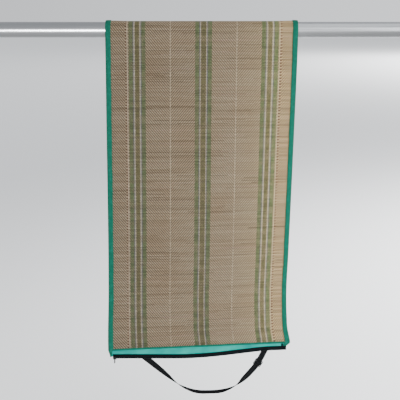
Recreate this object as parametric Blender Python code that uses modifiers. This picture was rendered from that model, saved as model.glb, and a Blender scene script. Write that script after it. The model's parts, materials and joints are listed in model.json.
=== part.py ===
"""A woven straw beach mat hanging over a round metal rail.

The mat is one sheet that goes over the rail and hangs down on both sides. Folded tape binds its four
edges. A cloth strip behind its front end carries half a zip and a webbing strap with a slide buckle.

The frame: X runs along the rail to the right of someone facing the mat, -Y points to that person, and
Z is up. The origin is the middle of the rail's left end face. Lengths are in metres.

A place on the mat is given by two lengths and a height: across, from its left edge to its right;
along, from the top of the rail, down the front when positive and down the back when negative; and
proud, the height over the middle of its thickness, positive on the straw's outer face.
"""

import math
from functools import lru_cache
from typing import NamedTuple

import bmesh
import bpy
import numpy as np
from mathutils import Matrix, Vector

MM = 0.001

# Rail
RAIL_RADIUS = 24.15 * MM
RAIL_LENGTH = 1.400
RAIL_SIDES = 48
RAIL_CHAMFER = 1.0 * MM

# Mat, measured over its bindings
MAT_WIDTH = 0.600
MAT_LENGTH = 1.800
MAT_THICKNESS = 2.5 * MM
MAT_LEFT = 0.405          # the mat's left edge on the rail, from the rail's left end
FRONT_DROP = 1.040        # the front end below the rail's axis
BACK_FLARE = 12.0 * MM    # how much further out the back layer's end hangs

# Clearance between pieces that touch
GAP = 0.3 * MM

# Cloth tape folded over the edges
TAPE = 1.0 * MM
SIDE_TAPE_WIDTH = 17.0 * MM
END_TAPE_WIDTH = 6.0 * MM
CORNER_FLARE = 3.0 * MM   # the tape's corner at the mat's lower right stands out
FLARE_LENGTH = 15.0 * MM

# Cloth strip under the front end, with the zip
STRIP_HEIGHT = 37.0 * MM
STRIP_INSET = 6.0 * MM    # from the mat's edges
STRIP_UNDER_ZIP = 8.0 * MM
ZIP_TAPE_HEIGHT = 12.0 * MM
ZIP_START = 10.5 * MM     # from the mat's left edge
ZIP_END_INSET = 6.0 * MM  # from the mat's right edge
ZIP_TAB_RIGHT = 19.5 * MM  # the tape's turned up end, from the mat's right edge
ZIP_TAB_WIDTH = 4.0 * MM
ZIP_TAB_TOP = 1.5 * MM    # below the mat's end
COIL_RADIUS = 1.3 * MM

# Zip slider and its pull
SLIDER_ACROSS = 16.5 * MM
SLIDER_LENGTH = 11.0 * MM
SLIDER_HALF_DEPTH = 3.0 * MM
SLIDER_WALL = 1.2 * MM
SLIDER_TOP = 5.0 * MM
SLIDER_BOTTOM = 3.2 * MM
BAIL_RADIUS = 0.5 * MM
PULL_WIDTH = 4.0 * MM
PULL_LENGTH = 16.0 * MM
PULL_THICKNESS = 1.0 * MM
PULL_CORNER = 1.8 * MM
PULL_HOLE_RADIUS = 1.2 * MM
PULL_EYE_WALL = 0.9 * MM  # over the hole

# Strap and its slide
STRAP_WIDTH = 20.0 * MM
STRAP_THICKNESS = 1.4 * MM
STRAP_STEP = 8.0 * MM
BUCKLE_STATION = 0.488    # along the strap, from its tucked left end
BUCKLE_WIDTH = 26.0 * MM
BUCKLE_LENGTH = 20.0 * MM
BUCKLE_THICKNESS = 2.6 * MM
BUCKLE_BAR = 2.4 * MM
BUCKLE_CENTRE_BAR = 4.8 * MM
BUCKLE_SLOT_WIDTH = 21.6 * MM
BUCKLE_CORNER = 3.0 * MM
SLOT_CORNER = 0.5 * MM

# Fineness of the mesh
COLUMNS = 20
ROW_STEP = 35.0 * MM
CROWN_ROWS = 14
STRIP_COLUMNS = 28


class Hang(NamedTuple):
    """How the mat hangs at one height. Its straws keep it straight on the rail and bend lower down."""
    drop: float         # below the rail's axis, m
    lean: float         # the left edge's place behind the plane under the rail's side, mm
    left_turn: float    # how far the left part faces away from square, degrees
    right_turn: float   # how much further the right part is turned, degrees
    shift: float        # to the right, mm


HANG = (
    Hang(0.00, 0.0, 0.0, 0.0, 0.0),
    Hang(0.10, 0.5, 0.1, 1.2, -0.5),
    Hang(0.30, 4.0, 0.4, 5.0, -1.8),
    Hang(0.51, 10.0, 0.7, 7.8, -3.0),
    Hang(0.72, 16.0, 1.5, 9.0, -5.0),
    Hang(0.90, 8.0, 4.8, 6.2, -6.5),
    Hang(0.98, -7.0, 6.5, 2.5, -5.0),
    Hang(1.05, -24.0, 7.3, 0.0, -2.5),
)
TURN_FROM, TURN_TO = 0.25, 0.75   # where across the mat the turn grows, as shares of its width


class ZipPoint(NamedTuple):
    """Where the zip tape's upper edge hangs, as the soft strip sags between its ends."""
    across: float   # m
    below: float    # below the mat's end, mm


ZIP_LINE = (
    ZipPoint(0.000, 12.0),
    ZipPoint(0.120, 18.0),
    ZipPoint(0.290, 24.0),
    ZipPoint(0.340, 22.5),
    ZipPoint(0.440, 15.5),
    ZipPoint(0.510, 10.5),
    ZipPoint(0.600, 9.5),
)


class StrapPoint(NamedTuple):
    """A point of the strap's middle line. Turned -90 it faces forwards, and at 0 it lies flat."""
    across: float   # m
    below: float    # below the mat's end, mm
    turn: float     # degrees


STRAP = (
    StrapPoint(0.098, 13.0, -90.0),
    StrapPoint(0.121, 32.0, -90.0),
    StrapPoint(0.176, 82.0, -62.0),
    StrapPoint(0.229, 130.0, -17.0),
    StrapPoint(0.281, 156.0, -2.0),
    StrapPoint(0.330, 162.0, 0.0),
    StrapPoint(0.378, 160.0, -2.0),
    StrapPoint(0.422, 144.0, -17.0),
    StrapPoint(0.452, 118.0, -52.0),
    StrapPoint(0.475, 94.0, -86.0),
    StrapPoint(0.498, 66.0, -90.0),
    StrapPoint(0.518, 28.0, -90.0),
    StrapPoint(0.526, 13.0, -90.0),
)


def smooth_between(rows, value):
    """The row at a value of the first column, on a smooth curve through the table's rows."""
    table = np.array(rows)
    knots = table[:, 0]
    slopes = np.gradient(table, knots, axis=0)
    i = int(np.clip(np.searchsorted(knots, value) - 1, 0, len(knots) - 2))
    span = knots[i + 1] - knots[i]
    t = (value - knots[i]) / span
    start, end = table[i], table[i + 1]
    return ((1 + 2 * t) * (1 - t) ** 2 * start + t * (1 - t) ** 2 * span * slopes[i]
            + t * t * (3 - 2 * t) * end + t * t * (t - 1) * span * slopes[i + 1])


def eased(share):
    """From 0 to 1 with level ends."""
    share = np.clip(share, 0.0, 1.0)
    return share * share * (3.0 - 2.0 * share)


# The mat's drape

CROWN_RADIUS = RAIL_RADIUS + GAP + MAT_THICKNESS / 2
QUARTER = CROWN_RADIUS * math.pi / 2      # along the mat from the rail's top to its side
EDGE_RIDE = TAPE + GAP                    # the bound edges ride higher on the rail than the middle
EDGE_RIDE_WIDTH = 60.0 * MM
ACROSS = np.linspace(0.0, MAT_WIDTH, 121)


def ride(across):
    """How much higher than its middle the mat lies on the rail, beside its bindings."""
    from_edge = min(across, MAT_WIDTH - across)
    return EDGE_RIDE * (1.0 - eased((from_edge - SIDE_TAPE_WIDTH) / EDGE_RIDE_WIDTH))


@lru_cache(maxsize=None)
def plan_curve(drop):
    """The mat seen from above at one height: x and y of its points across, as it turns away."""
    row = Hang(*smooth_between(HANG, drop))
    share = eased((ACROSS / MAT_WIDTH - TURN_FROM) / (TURN_TO - TURN_FROM))
    angle = np.radians(row.left_turn + row.right_turn * share)
    step = ACROSS[1]
    x = np.concatenate([[0.0], np.cumsum(np.cos((angle[1:] + angle[:-1]) / 2) * step)])
    y = np.concatenate([[0.0], np.cumsum(np.sin((angle[1:] + angle[:-1]) / 2) * step)])
    return x + row.shift * MM, y + row.lean * MM


def middle_set(drop):
    """How far behind its plane the mat's middle hangs at one height."""
    return float(np.interp(MAT_WIDTH / 2, ACROSS, plan_curve(round(drop, 4))[1]))


def hang_down():
    """Lengths hung past the rail's side, and the drop that each reaches as the mat sways."""
    step = 5.0 * MM
    hung = np.arange(0.0, 1.15, step)
    drops = np.zeros(len(hung))
    for i in range(1, len(hung)):
        slope = (middle_set(drops[i - 1] + step) - middle_set(drops[i - 1])) / step
        drops[i] = drops[i - 1] + step / math.hypot(1.0, slope)
    return hung, drops


HUNG, DROPS = hang_down()
FRONT_END = QUARTER + float(np.interp(FRONT_DROP, DROPS, HUNG))
BACK_END = FRONT_END - MAT_LENGTH


def middle_point(across, along):
    """A point in the middle of the mat's thickness."""
    radius = CROWN_RADIUS + ride(across)
    if abs(along) <= QUARTER:
        angle = along / CROWN_RADIUS
        return Vector((MAT_LEFT + across, -radius * math.sin(angle), radius * math.cos(angle)))
    hung = abs(along) - QUARTER
    drop = float(np.interp(hung, HUNG, DROPS))
    x, y = plan_curve(round(drop, 4))
    set_back = float(np.interp(across, ACROSS, y))
    side = -1.0 if along > 0 else 1.0
    if along < 0:
        set_back += BACK_FLARE * (hung / (-BACK_END - QUARTER)) ** 2
    return Vector((MAT_LEFT + float(np.interp(across, ACROSS, x)), side * radius + set_back, -drop))


def outward(across, along):
    """The mat's outward direction at a place."""
    reach = 2.0 * MM
    to_front = middle_point(across, along + reach) - middle_point(across, along - reach)
    a0, a1 = max(across - reach, 0.0), min(across + reach, MAT_WIDTH)
    to_right = middle_point(a1, along) - middle_point(a0, along)
    return to_front.cross(to_right).normalized()


def mat_point(across, along, proud):
    """A point at a height over the middle of the mat's thickness, also just beyond its edges."""
    inside = min(max(across, 0.0), MAT_WIDTH)
    beyond = Vector((across - inside, 0.0, 0.0))
    return middle_point(inside, along) + beyond + outward(inside, along) * proud


# The strip under the mat's front end

STRIP_PROUD = -(MAT_THICKNESS / 2 + GAP + TAPE + GAP + TAPE / 2)   # behind the end binding
ZIP_PROUD = STRIP_PROUD + TAPE + GAP                               # in front of the strip
STRAP_PROUD = STRIP_PROUD - TAPE / 2 - GAP - STRAP_THICKNESS / 2   # behind the strip


def zip_top(across):
    """How far below the mat's end the zip tape starts."""
    return float(smooth_between(ZIP_LINE, across)[1]) * MM


def curtain_point(across, below, proud):
    """A point on or near the strip: behind the mat's end it follows the mat, and below it hangs."""
    if below <= 0.0:
        return mat_point(across, FRONT_END + below, proud)
    return mat_point(across, FRONT_END, proud) + Vector((0.0, 0.0, -below))


# Making solids

def new_material(name, colour, roughness, metallic=0.0):
    """A Principled material; the colour is linear."""
    material = bpy.data.materials.new(name)
    material.use_nodes = True
    shader = material.node_tree.nodes["Principled BSDF"]
    shader.inputs["Base Color"].default_value = (*colour, 1.0)
    shader.inputs["Roughness"].default_value = roughness
    shader.inputs["Metallic"].default_value = metallic
    return material


def new_object(name, data, material):
    """An object in the model's collection, with its own material."""
    obj = bpy.data.objects.new(name, data)
    bpy.data.collections["beach_mat"].objects.link(obj)
    data.materials.append(material)
    return obj


def cloth(name, columns, rows, place, thickness, material, keep=None):
    """A grid of columns by rows, each corner moved to place(column, row), then thickened evenly."""
    bm = bmesh.new()
    bmesh.ops.create_grid(bm, x_segments=columns, y_segments=rows, size=1.0)
    cells = {}
    for vertex in bm.verts:
        column = round((vertex.co.x + 1.0) / 2.0 * columns)
        row = round((vertex.co.y + 1.0) / 2.0 * rows)
        cells[vertex] = (column, row)
    if keep:
        lost = []
        for face in bm.faces:
            column = min(cells[vertex][0] for vertex in face.verts)
            row = min(cells[vertex][1] for vertex in face.verts)
            if not keep(column, row):
                lost.append(face)
        bmesh.ops.delete(bm, geom=lost, context="FACES")
    for vertex in bm.verts:
        vertex.co = place(*cells[vertex])
    mesh = bpy.data.meshes.new(name)
    bm.to_mesh(mesh)
    bm.free()
    mesh.shade_smooth()
    obj = new_object(name, mesh, material)
    solidify = obj.modifiers.new("Thickness", "SOLIDIFY")
    solidify.thickness = thickness
    solidify.offset = 0.0
    solidify.use_even_offset = True
    return obj


def flat_outline(name, outlines, half_depth, material):
    """A flat shape from closed outlines, the first one outside and the rest holes, with a depth."""
    curve = bpy.data.curves.new(name, "CURVE")
    curve.dimensions = "2D"
    curve.fill_mode = "BOTH"
    curve.extrude = half_depth
    for outline in outlines:
        spline = curve.splines.new("POLY")
        spline.points.add(len(outline) - 1)
        for point, (x, y) in zip(spline.points, outline):
            point.co = (x, y, 0.0, 1.0)
        spline.use_cyclic_u = True
    return new_object(name, curve, material)


def round_bar(name, points, radius, material):
    """A bar of round section through the points, with flat ends."""
    curve = bpy.data.curves.new(name, "CURVE")
    curve.dimensions = "3D"
    curve.bevel_depth = radius
    curve.bevel_resolution = 2
    curve.use_fill_caps = True
    spline = curve.splines.new("POLY")
    spline.points.add(len(points) - 1)
    for point, co in zip(spline.points, points):
        point.co = (*co, 1.0)
    return new_object(name, curve, material)


def made_mesh(obj):
    """The same shape as a mesh whose caps are joined to its sides, in place of a curve."""
    bpy.context.view_layer.update()
    evaluated = obj.evaluated_get(bpy.context.evaluated_depsgraph_get())
    mesh = bpy.data.meshes.new_from_object(evaluated)
    bm = bmesh.new()
    bm.from_mesh(mesh)
    bmesh.ops.remove_doubles(bm, verts=bm.verts, dist=0.001 * MM)
    bm.to_mesh(mesh)
    bm.free()
    name, material, place = obj.name, obj.data.materials[0], obj.matrix_world.copy()
    bpy.data.objects.remove(obj)
    mesh.materials.clear()
    result = new_object(name, mesh, material)
    result.matrix_world = place
    return result


def rounded_rectangle(width, height, radius, steps=4):
    """The outline of a rectangle with round corners, about its middle."""
    points = []
    for corner, (sx, sy) in enumerate(((1, 1), (-1, 1), (-1, -1), (1, -1))):
        cx, cy = sx * (width / 2 - radius), sy * (height / 2 - radius)
        for step in range(steps + 1):
            angle = math.radians(90.0 * corner + 90.0 * step / steps)
            points.append((cx + radius * math.cos(angle), cy + radius * math.sin(angle)))
    return points


# Rail

def make_rail():
    bpy.ops.mesh.primitive_cylinder_add(
        vertices=RAIL_SIDES, radius=RAIL_RADIUS, depth=RAIL_LENGTH,
        location=(RAIL_LENGTH / 2, 0.0, 0.0), rotation=(0.0, math.pi / 2, 0.0))
    rail = bpy.context.object
    rail.name = "rail"
    for collection in rail.users_collection:
        collection.objects.unlink(rail)
    bpy.data.collections["beach_mat"].objects.link(rail)
    rail.data.materials.append(new_material("satin_aluminium", (0.60, 0.61, 0.62), 0.3, 1.0))
    chamfer = rail.modifiers.new("End chamfer", "BEVEL")
    chamfer.width = RAIL_CHAMFER
    chamfer.segments = 1
    chamfer.limit_method = "ANGLE"
    chamfer.angle_limit = math.radians(60.0)
    rail.data.shade_smooth()
    rail.data.set_sharp_from_angle(angle=math.radians(40.0))
    return rail


# Mat and bindings

TAPE_PROUD = MAT_THICKNESS / 2 + GAP + TAPE / 2     # the folded tape's middle, over the mat's middle
STRAW_INSET = TAPE + GAP                            # the straw's own edge, inside the tape's fold
FOLD_SLACK = 0.05 * MM                              # how much looser the tape's fold is than its faces
AROUND_EDGE = (2, 3, 4, 5)                          # the fold profile's points past the straw's edge


def rows_along():
    """The rows of the mat's mesh: even ones down the back and front, close ones over the rail."""
    back_rows = round((-BACK_END - QUARTER) / ROW_STEP)
    front_rows = round((FRONT_END - QUARTER) / ROW_STEP)
    back = np.linspace(BACK_END, -QUARTER, back_rows + 1)
    crown = np.linspace(-QUARTER, QUARTER, CROWN_ROWS + 1)
    front = np.linspace(QUARTER, FRONT_END, front_rows + 1)
    return [float(value) for value in np.concatenate([back, crown[1:-1], front])]


def make_mat(material):
    rows = rows_along()
    rows[0] += STRAW_INSET
    rows[-1] -= STRAW_INSET
    columns = np.linspace(STRAW_INSET, MAT_WIDTH - STRAW_INSET, COLUMNS + 1)

    def place(column, row):
        return mat_point(float(columns[column]), rows[row], 0.0)

    return cloth("mat", COLUMNS, len(rows) - 1, place, MAT_THICKNESS, material)


def fold_profile(width):
    """The folded tape's middle line, from the outer face round the edge: inset and height pairs."""
    corner = TAPE / 2 + GAP + FOLD_SLACK
    diagonal = corner * math.sqrt(0.5)
    half = MAT_THICKNESS / 2
    outer = [(width, TAPE_PROUD),
             (STRAW_INSET, TAPE_PROUD),
             (STRAW_INSET - diagonal, half + diagonal),
             (TAPE / 2, half)]
    return outer + [(inset, -height) for inset, height in reversed(outer)]


class FlapRow(NamedTuple):
    """A row of the tape's end below the mat, where it turns behind and down over the strip's end."""
    below: float    # below the mat's end, mm
    outer: float    # its outer edge, from the mat's edge, mm
    inner: float    # its inner edge, from the mat's edge, mm
    proud: float    # its share of the way from the strip's front, 0, to the tape's face, 1


LEFT_FLAP = (
    FlapRow(1.5, 1.0, 11.0, 0.75),
    FlapRow(4.0, 2.0, 10.0, 0.0),
    FlapRow(12.0, 4.0, 10.0, 0.0),
    FlapRow(21.0, 5.5, 10.0, 0.0),
)
RIGHT_FLAP = (
    FlapRow(1.5, -1.0, 17.0, 0.75),
    FlapRow(4.0, 1.5, 18.5, 0.0),
    FlapRow(9.0, 5.0, 18.5, 0.0),
)


def make_side_binding(name, material, from_right, flap):
    """Tape folded over a long edge. Its front half runs on as a flap below the mat's front end."""
    rows = rows_along()
    profile = fold_profile(SIDE_TAPE_WIDTH)
    body_rows = len(rows) - 1

    def across(inset):
        return MAT_WIDTH - inset if from_right else inset

    def place(column, row):
        inset, proud = profile[column]
        if row <= body_rows:
            near_end = eased((rows[row] - FRONT_END + FLARE_LENGTH) / FLARE_LENGTH)
            if from_right and column in AROUND_EDGE:
                inset -= CORNER_FLARE * near_end
            return mat_point(across(inset), rows[row], proud)
        step = flap[row - body_rows - 1]
        inset = step.inner * MM if column == 0 else step.outer * MM
        proud = ZIP_PROUD + (TAPE_PROUD - ZIP_PROUD) * step.proud
        return curtain_point(across(inset), step.below * MM, proud)

    def keep(column, row):
        return row < body_rows or column == 0

    total = body_rows + len(flap)
    return cloth(name, len(profile) - 1, total, place, TAPE, material, keep)


def make_end_binding(name, material, end, direction):
    """Tape folded over a cut end, between the side bindings."""
    profile = fold_profile(END_TAPE_WIDTH)
    inset = SIDE_TAPE_WIDTH + GAP
    columns = np.linspace(inset, MAT_WIDTH - inset, COLUMNS + 1)

    def place(column, row):
        from_end, proud = profile[row]
        return mat_point(float(columns[column]), end - direction * from_end, proud)

    return cloth(name, COLUMNS, len(profile) - 1, place, TAPE, material)


# Strip and zip

def make_strip(material):
    """Aqua cloth behind the mat's end; its lower edge lies behind the zip tape."""
    columns = np.linspace(STRIP_INSET, MAT_WIDTH - STRIP_INSET, STRIP_COLUMNS + 1)
    rows_above, rows_below = 1, 3

    def place(column, row):
        across = float(columns[column])
        bottom = zip_top(across) + STRIP_UNDER_ZIP
        top = bottom - STRIP_HEIGHT
        if row <= rows_above:
            below = top * (1.0 - row / rows_above)
        else:
            below = bottom * (row - rows_above) / rows_below
        return curtain_point(across, below, STRIP_PROUD)

    return cloth("zip_strip", STRIP_COLUMNS, rows_above + rows_below, place, TAPE, material)


def make_zip_tape(material):
    """Zip tape in front of the strip's lower edge, with its right end turned up beside the flap."""
    tab_right = MAT_WIDTH - ZIP_TAB_RIGHT
    tab_left = tab_right - ZIP_TAB_WIDTH
    zip_end = MAT_WIDTH - ZIP_END_INSET
    columns = np.concatenate([np.linspace(ZIP_START, tab_left, STRIP_COLUMNS),
                              [tab_right], [zip_end]])
    tab_column = STRIP_COLUMNS - 1

    def place(column, row):
        across = float(columns[column])
        top = zip_top(across)
        below = (top + ZIP_TAPE_HEIGHT, top, ZIP_TAB_TOP)[row]
        return curtain_point(across, below, ZIP_PROUD)

    def keep(column, row):
        return row == 0 or column == tab_column

    return cloth("zip_tape", len(columns) - 1, 2, place, TAPE, material, keep)


def coil_point(across):
    """A point on the zip coil's axis."""
    below = zip_top(across) + ZIP_TAPE_HEIGHT + GAP + COIL_RADIUS
    return curtain_point(across, below, ZIP_PROUD)


def make_coil(material):
    stations = np.linspace(ZIP_START, MAT_WIDTH - ZIP_END_INSET, STRIP_COLUMNS + 1)
    points = [coil_point(float(across)) for across in stations]
    return round_bar("zip_coil", points, COIL_RADIUS, material)


def slider_frame():
    """The slider's own axes: X out of the mat's face, Y up and Z along the coil."""
    origin = coil_point(SLIDER_ACROSS)
    along = (coil_point(SLIDER_ACROSS + 5 * MM) - coil_point(SLIDER_ACROSS - 5 * MM)).normalized()
    out = Vector((along.y, -along.x, 0.0)).normalized()
    up = along.cross(out)
    if up.z < 0:
        up = -up
    frame = Matrix((out, up, out.cross(up))).transposed().to_4x4()
    frame.translation = origin
    return frame


BAIL_FOOT_HEIGHTS = (3.4 * MM, -1.4 * MM)
BAIL_REACH = 5.9 * MM
PULL_OUT = 4.3 * MM      # the pull's middle, out from the coil's axis


def make_slider(material):
    """A clip that wraps the coil from below, with a wire bail on its front."""
    half, inner = SLIDER_HALF_DEPTH, SLIDER_HALF_DEPTH - SLIDER_WALL
    floor = -SLIDER_BOTTOM + SLIDER_WALL
    outline = [(-half, -SLIDER_BOTTOM), (half, -SLIDER_BOTTOM), (half, SLIDER_TOP), (inner, SLIDER_TOP),
               (inner, floor), (-inner, floor), (-inner, SLIDER_TOP), (-half, SLIDER_TOP)]
    body = flat_outline("zip_slider", [outline], SLIDER_LENGTH / 2, material)
    body.matrix_world = slider_frame()
    body = made_mesh(body)

    high, low = BAIL_FOOT_HEIGHTS
    root = half - SLIDER_WALL / 2
    turn = 1.2 * MM
    points = [(root, high, 0.0), (BAIL_REACH - turn, high, 0.0), (BAIL_REACH, high - turn, 0.0),
              (BAIL_REACH, low + turn, 0.0), (BAIL_REACH - turn, low, 0.0), (root, low, 0.0)]
    bail = round_bar("slider_bail", points, BAIL_RADIUS, material)
    bail.matrix_world = slider_frame()
    bail = made_mesh(bail)
    bail.hide_render = True
    bail.display_type = "WIRE"
    for collection in bail.users_collection:
        collection.objects.unlink(bail)
    bpy.data.collections["cutters"].objects.link(bail)

    union = body.modifiers.new("Bail", "BOOLEAN")
    union.operation = "UNION"
    union.object = bail
    return body


def make_pull(material):
    """A flat tab with a hole, hanging from the bail's lower bar in front of the slider."""
    low = BAIL_FOOT_HEIGHTS[1]
    hole_centre = low - (PULL_HOLE_RADIUS - BAIL_RADIUS - GAP)
    top = hole_centre + PULL_HOLE_RADIUS + PULL_EYE_WALL
    middle = top - PULL_LENGTH / 2
    tab = [(x, y + middle) for x, y in rounded_rectangle(PULL_WIDTH, PULL_LENGTH, PULL_CORNER)]
    sides = 12
    hole = [(PULL_HOLE_RADIUS * math.cos(2 * math.pi * k / sides),
             hole_centre + PULL_HOLE_RADIUS * math.sin(2 * math.pi * k / sides)) for k in range(sides)]
    pull = flat_outline("zip_puller", [tab, hole], PULL_THICKNESS / 2, material)
    facing = Matrix(((0, 0, 1, PULL_OUT), (0, 1, 0, 0), (-1, 0, 0, 0), (0, 0, 0, 1)))
    pull.matrix_world = slider_frame() @ facing
    return pull


# Strap and buckle

def strap_line():
    """Points close together on the strap's middle line, with its turn and the length up to each."""
    table = np.array(STRAP)
    knots = np.arange(len(table), dtype=float)
    rows = np.column_stack([knots, table])
    samples = np.array([smooth_between(rows, t)[1:] for t in np.linspace(0, len(table) - 1, 481)])
    points = [curtain_point(float(u), float(v) * MM, STRAP_PROUD) for u, v, _ in samples]
    steps = [0.0] + [(b - a).length for a, b in zip(points, points[1:])]
    return np.array(points), samples[:, 2], np.cumsum(steps)


STRAP_POINTS, STRAP_TURNS, STRAP_LENGTHS = strap_line()
STRAP_LENGTH = float(STRAP_LENGTHS[-1])


def strap_frame(length):
    """A point of the strap's middle line, with its directions along, across its width and out of it."""
    def at(value):
        return Vector([float(np.interp(value, STRAP_LENGTHS, STRAP_POINTS[:, k])) for k in range(3)])

    reach = 4.0 * MM
    along = (at(min(length + reach, STRAP_LENGTH)) - at(max(length - reach, 0.0))).normalized()
    backward = -outward(MAT_WIDTH / 2, FRONT_END)
    backward.z = 0.0
    backward -= along * along.dot(backward)
    backward.normalize()
    turn = math.radians(float(np.interp(length, STRAP_LENGTHS, STRAP_TURNS)))
    width = backward * math.cos(turn) + along.cross(backward) * math.sin(turn)
    return at(length), along, width, along.cross(width)


STRAP_LIFT = BUCKLE_THICKNESS / 2 + GAP + STRAP_THICKNESS / 2
THREADING = (            # from the buckle's middle, and the strap's place: behind 1, in front -1
    (0.0, -1.0),
    (2.9 * MM, -1.0),
    (7.1 * MM, 1.0),
    (10.5 * MM, 1.0),
    (17.0 * MM, 0.0),
)


def strap_lift(length):
    """The strap goes behind the slide's outer bars and in front of its middle bar."""
    distance = abs(length - BUCKLE_STATION)
    stations = [row[0] for row in THREADING]
    places = [row[1] for row in THREADING]
    return STRAP_LIFT * float(np.interp(distance, stations, places))


def make_strap(material):
    reach = THREADING[-1][0]
    before = np.linspace(0.0, BUCKLE_STATION - reach, round((BUCKLE_STATION - reach) / STRAP_STEP))
    rest = STRAP_LENGTH - BUCKLE_STATION - reach
    after = np.linspace(BUCKLE_STATION + reach, STRAP_LENGTH, round(rest / STRAP_STEP))
    threads = [row[0] for row in THREADING[1:-1]]
    through = [BUCKLE_STATION + sign * value for sign, values in ((-1, threads[::-1]), (1, threads))
               for value in values]
    stations = [float(value) for value in (*before, *through, *after)]
    columns = 2

    def place(column, row):
        point, _, width, out = strap_frame(stations[row])
        aside = (column / columns - 0.5) * STRAP_WIDTH
        return point + width * aside + out * strap_lift(stations[row])

    return cloth("strap", columns, len(stations) - 1, place, STRAP_THICKNESS, material)


def make_buckle(material):
    """A flat frame with two slots and a bar between them."""
    slot = (BUCKLE_LENGTH - 2 * BUCKLE_BAR - BUCKLE_CENTRE_BAR) / 2
    slot_centre = BUCKLE_CENTRE_BAR / 2 + slot / 2
    outside = rounded_rectangle(BUCKLE_WIDTH, BUCKLE_LENGTH, BUCKLE_CORNER)
    opening = rounded_rectangle(BUCKLE_SLOT_WIDTH, slot, SLOT_CORNER, steps=1)
    outlines = [outside]
    for sign in (-1, 1):
        outlines.append([(x, y + sign * slot_centre) for x, y in opening])
    buckle = flat_outline("buckle", outlines, BUCKLE_THICKNESS / 2, material)
    point, along, width, out = strap_frame(BUCKLE_STATION)
    frame = Matrix((along.cross(out), along, out)).transposed().to_4x4()
    frame.translation = point
    buckle.matrix_world = frame
    return buckle


def main():
    for obj in list(bpy.data.objects):
        bpy.data.objects.remove(obj)
    for name in ("beach_mat", "cutters"):
        bpy.context.scene.collection.children.link(bpy.data.collections.new(name))

    make_rail()
    make_mat(new_material("woven_straw", (0.27, 0.21, 0.15), 0.8))
    make_side_binding("side_binding_left", new_material("teal_tape_left", (0.02, 0.20, 0.15), 0.8),
                      False, LEFT_FLAP)
    make_side_binding("side_binding_right", new_material("teal_tape_right", (0.02, 0.20, 0.15), 0.8),
                      True, RIGHT_FLAP)
    make_end_binding("end_binding_front", new_material("teal_tape_front", (0.02, 0.17, 0.13), 0.8),
                     FRONT_END, 1.0)
    make_end_binding("end_binding_back", new_material("teal_tape_back", (0.02, 0.17, 0.13), 0.8),
                     BACK_END, -1.0)
    make_strip(new_material("aqua_cloth", (0.11, 0.52, 0.42), 0.6))
    make_zip_tape(new_material("zip_tape_black", (0.008, 0.008, 0.010), 0.8))
    make_coil(new_material("zip_coil_black", (0.012, 0.012, 0.014), 0.45))
    make_slider(new_material("dark_metal", (0.10, 0.10, 0.10), 0.4, 1.0))
    make_pull(new_material("dark_metal_pull", (0.10, 0.10, 0.10), 0.4, 1.0))
    make_strap(new_material("black_webbing", (0.010, 0.010, 0.012), 0.75))
    make_buckle(new_material("black_plastic", (0.012, 0.012, 0.013), 0.4))


main()
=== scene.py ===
# %% [markdown]
# A straw beach mat hangs over a round metal rail. The frame below holds its solids at their real size:
# the mat itself, the tape round its edges, and a cloth strip with a zip and a carrying strap at its
# lower end. This lesson dresses each of them with a finer mesh and a material worked out in millimetres.

# %% Load the solids
import json
import math
from functools import lru_cache
from typing import NamedTuple

import bmesh
import bpy
import numpy as np
from mathutils import Matrix, Vector

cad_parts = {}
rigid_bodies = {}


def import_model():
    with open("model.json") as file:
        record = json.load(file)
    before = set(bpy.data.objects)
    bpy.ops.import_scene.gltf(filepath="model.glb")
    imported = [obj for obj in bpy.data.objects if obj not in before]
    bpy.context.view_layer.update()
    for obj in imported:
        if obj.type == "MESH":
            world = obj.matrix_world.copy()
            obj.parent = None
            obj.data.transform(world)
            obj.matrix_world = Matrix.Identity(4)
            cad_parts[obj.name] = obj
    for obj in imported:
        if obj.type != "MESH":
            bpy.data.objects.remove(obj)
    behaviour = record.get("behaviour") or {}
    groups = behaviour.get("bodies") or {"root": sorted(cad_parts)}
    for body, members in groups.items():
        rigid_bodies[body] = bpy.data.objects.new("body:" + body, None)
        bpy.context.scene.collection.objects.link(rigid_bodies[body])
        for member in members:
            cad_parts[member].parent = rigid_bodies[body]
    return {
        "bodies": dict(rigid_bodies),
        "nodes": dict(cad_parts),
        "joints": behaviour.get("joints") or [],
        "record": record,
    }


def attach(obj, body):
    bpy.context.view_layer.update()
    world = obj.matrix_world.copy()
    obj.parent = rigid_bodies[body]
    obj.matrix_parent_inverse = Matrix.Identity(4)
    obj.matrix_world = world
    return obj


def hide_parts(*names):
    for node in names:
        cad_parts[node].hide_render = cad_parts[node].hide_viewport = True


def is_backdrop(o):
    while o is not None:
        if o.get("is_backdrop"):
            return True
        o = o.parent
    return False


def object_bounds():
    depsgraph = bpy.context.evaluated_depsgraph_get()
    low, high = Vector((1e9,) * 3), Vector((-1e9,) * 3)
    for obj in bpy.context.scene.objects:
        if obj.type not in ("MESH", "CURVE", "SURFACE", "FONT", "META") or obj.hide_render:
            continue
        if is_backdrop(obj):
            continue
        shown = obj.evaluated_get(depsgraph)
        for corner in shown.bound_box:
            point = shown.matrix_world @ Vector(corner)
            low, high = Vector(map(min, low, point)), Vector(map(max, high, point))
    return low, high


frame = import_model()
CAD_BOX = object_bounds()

print("solids:", ", ".join(sorted(frame["nodes"])))
print("box in metres:", [round(high - low, 3) for low, high in zip(*CAD_BOX)])

# %% [markdown]
# The camera comes first, so that every later look is seen the way the photograph sees it. It stands
# 2.95 m from the rail and 3 cm above its axis, and looks down by 11 degrees. A long lens keeps the mat's
# sides almost parallel. The picture is 400 pixels wide, so the focal length is given in those pixels.

# %% Camera
PICTURE_WIDTH = 400
SENSOR = 36.0                  # mm
FOCAL_PIXELS = 926.0
CAMERA_PLACE = (0.6997, -2.947, 0.030)
CAMERA_DOWN = 11.005           # degrees

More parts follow.
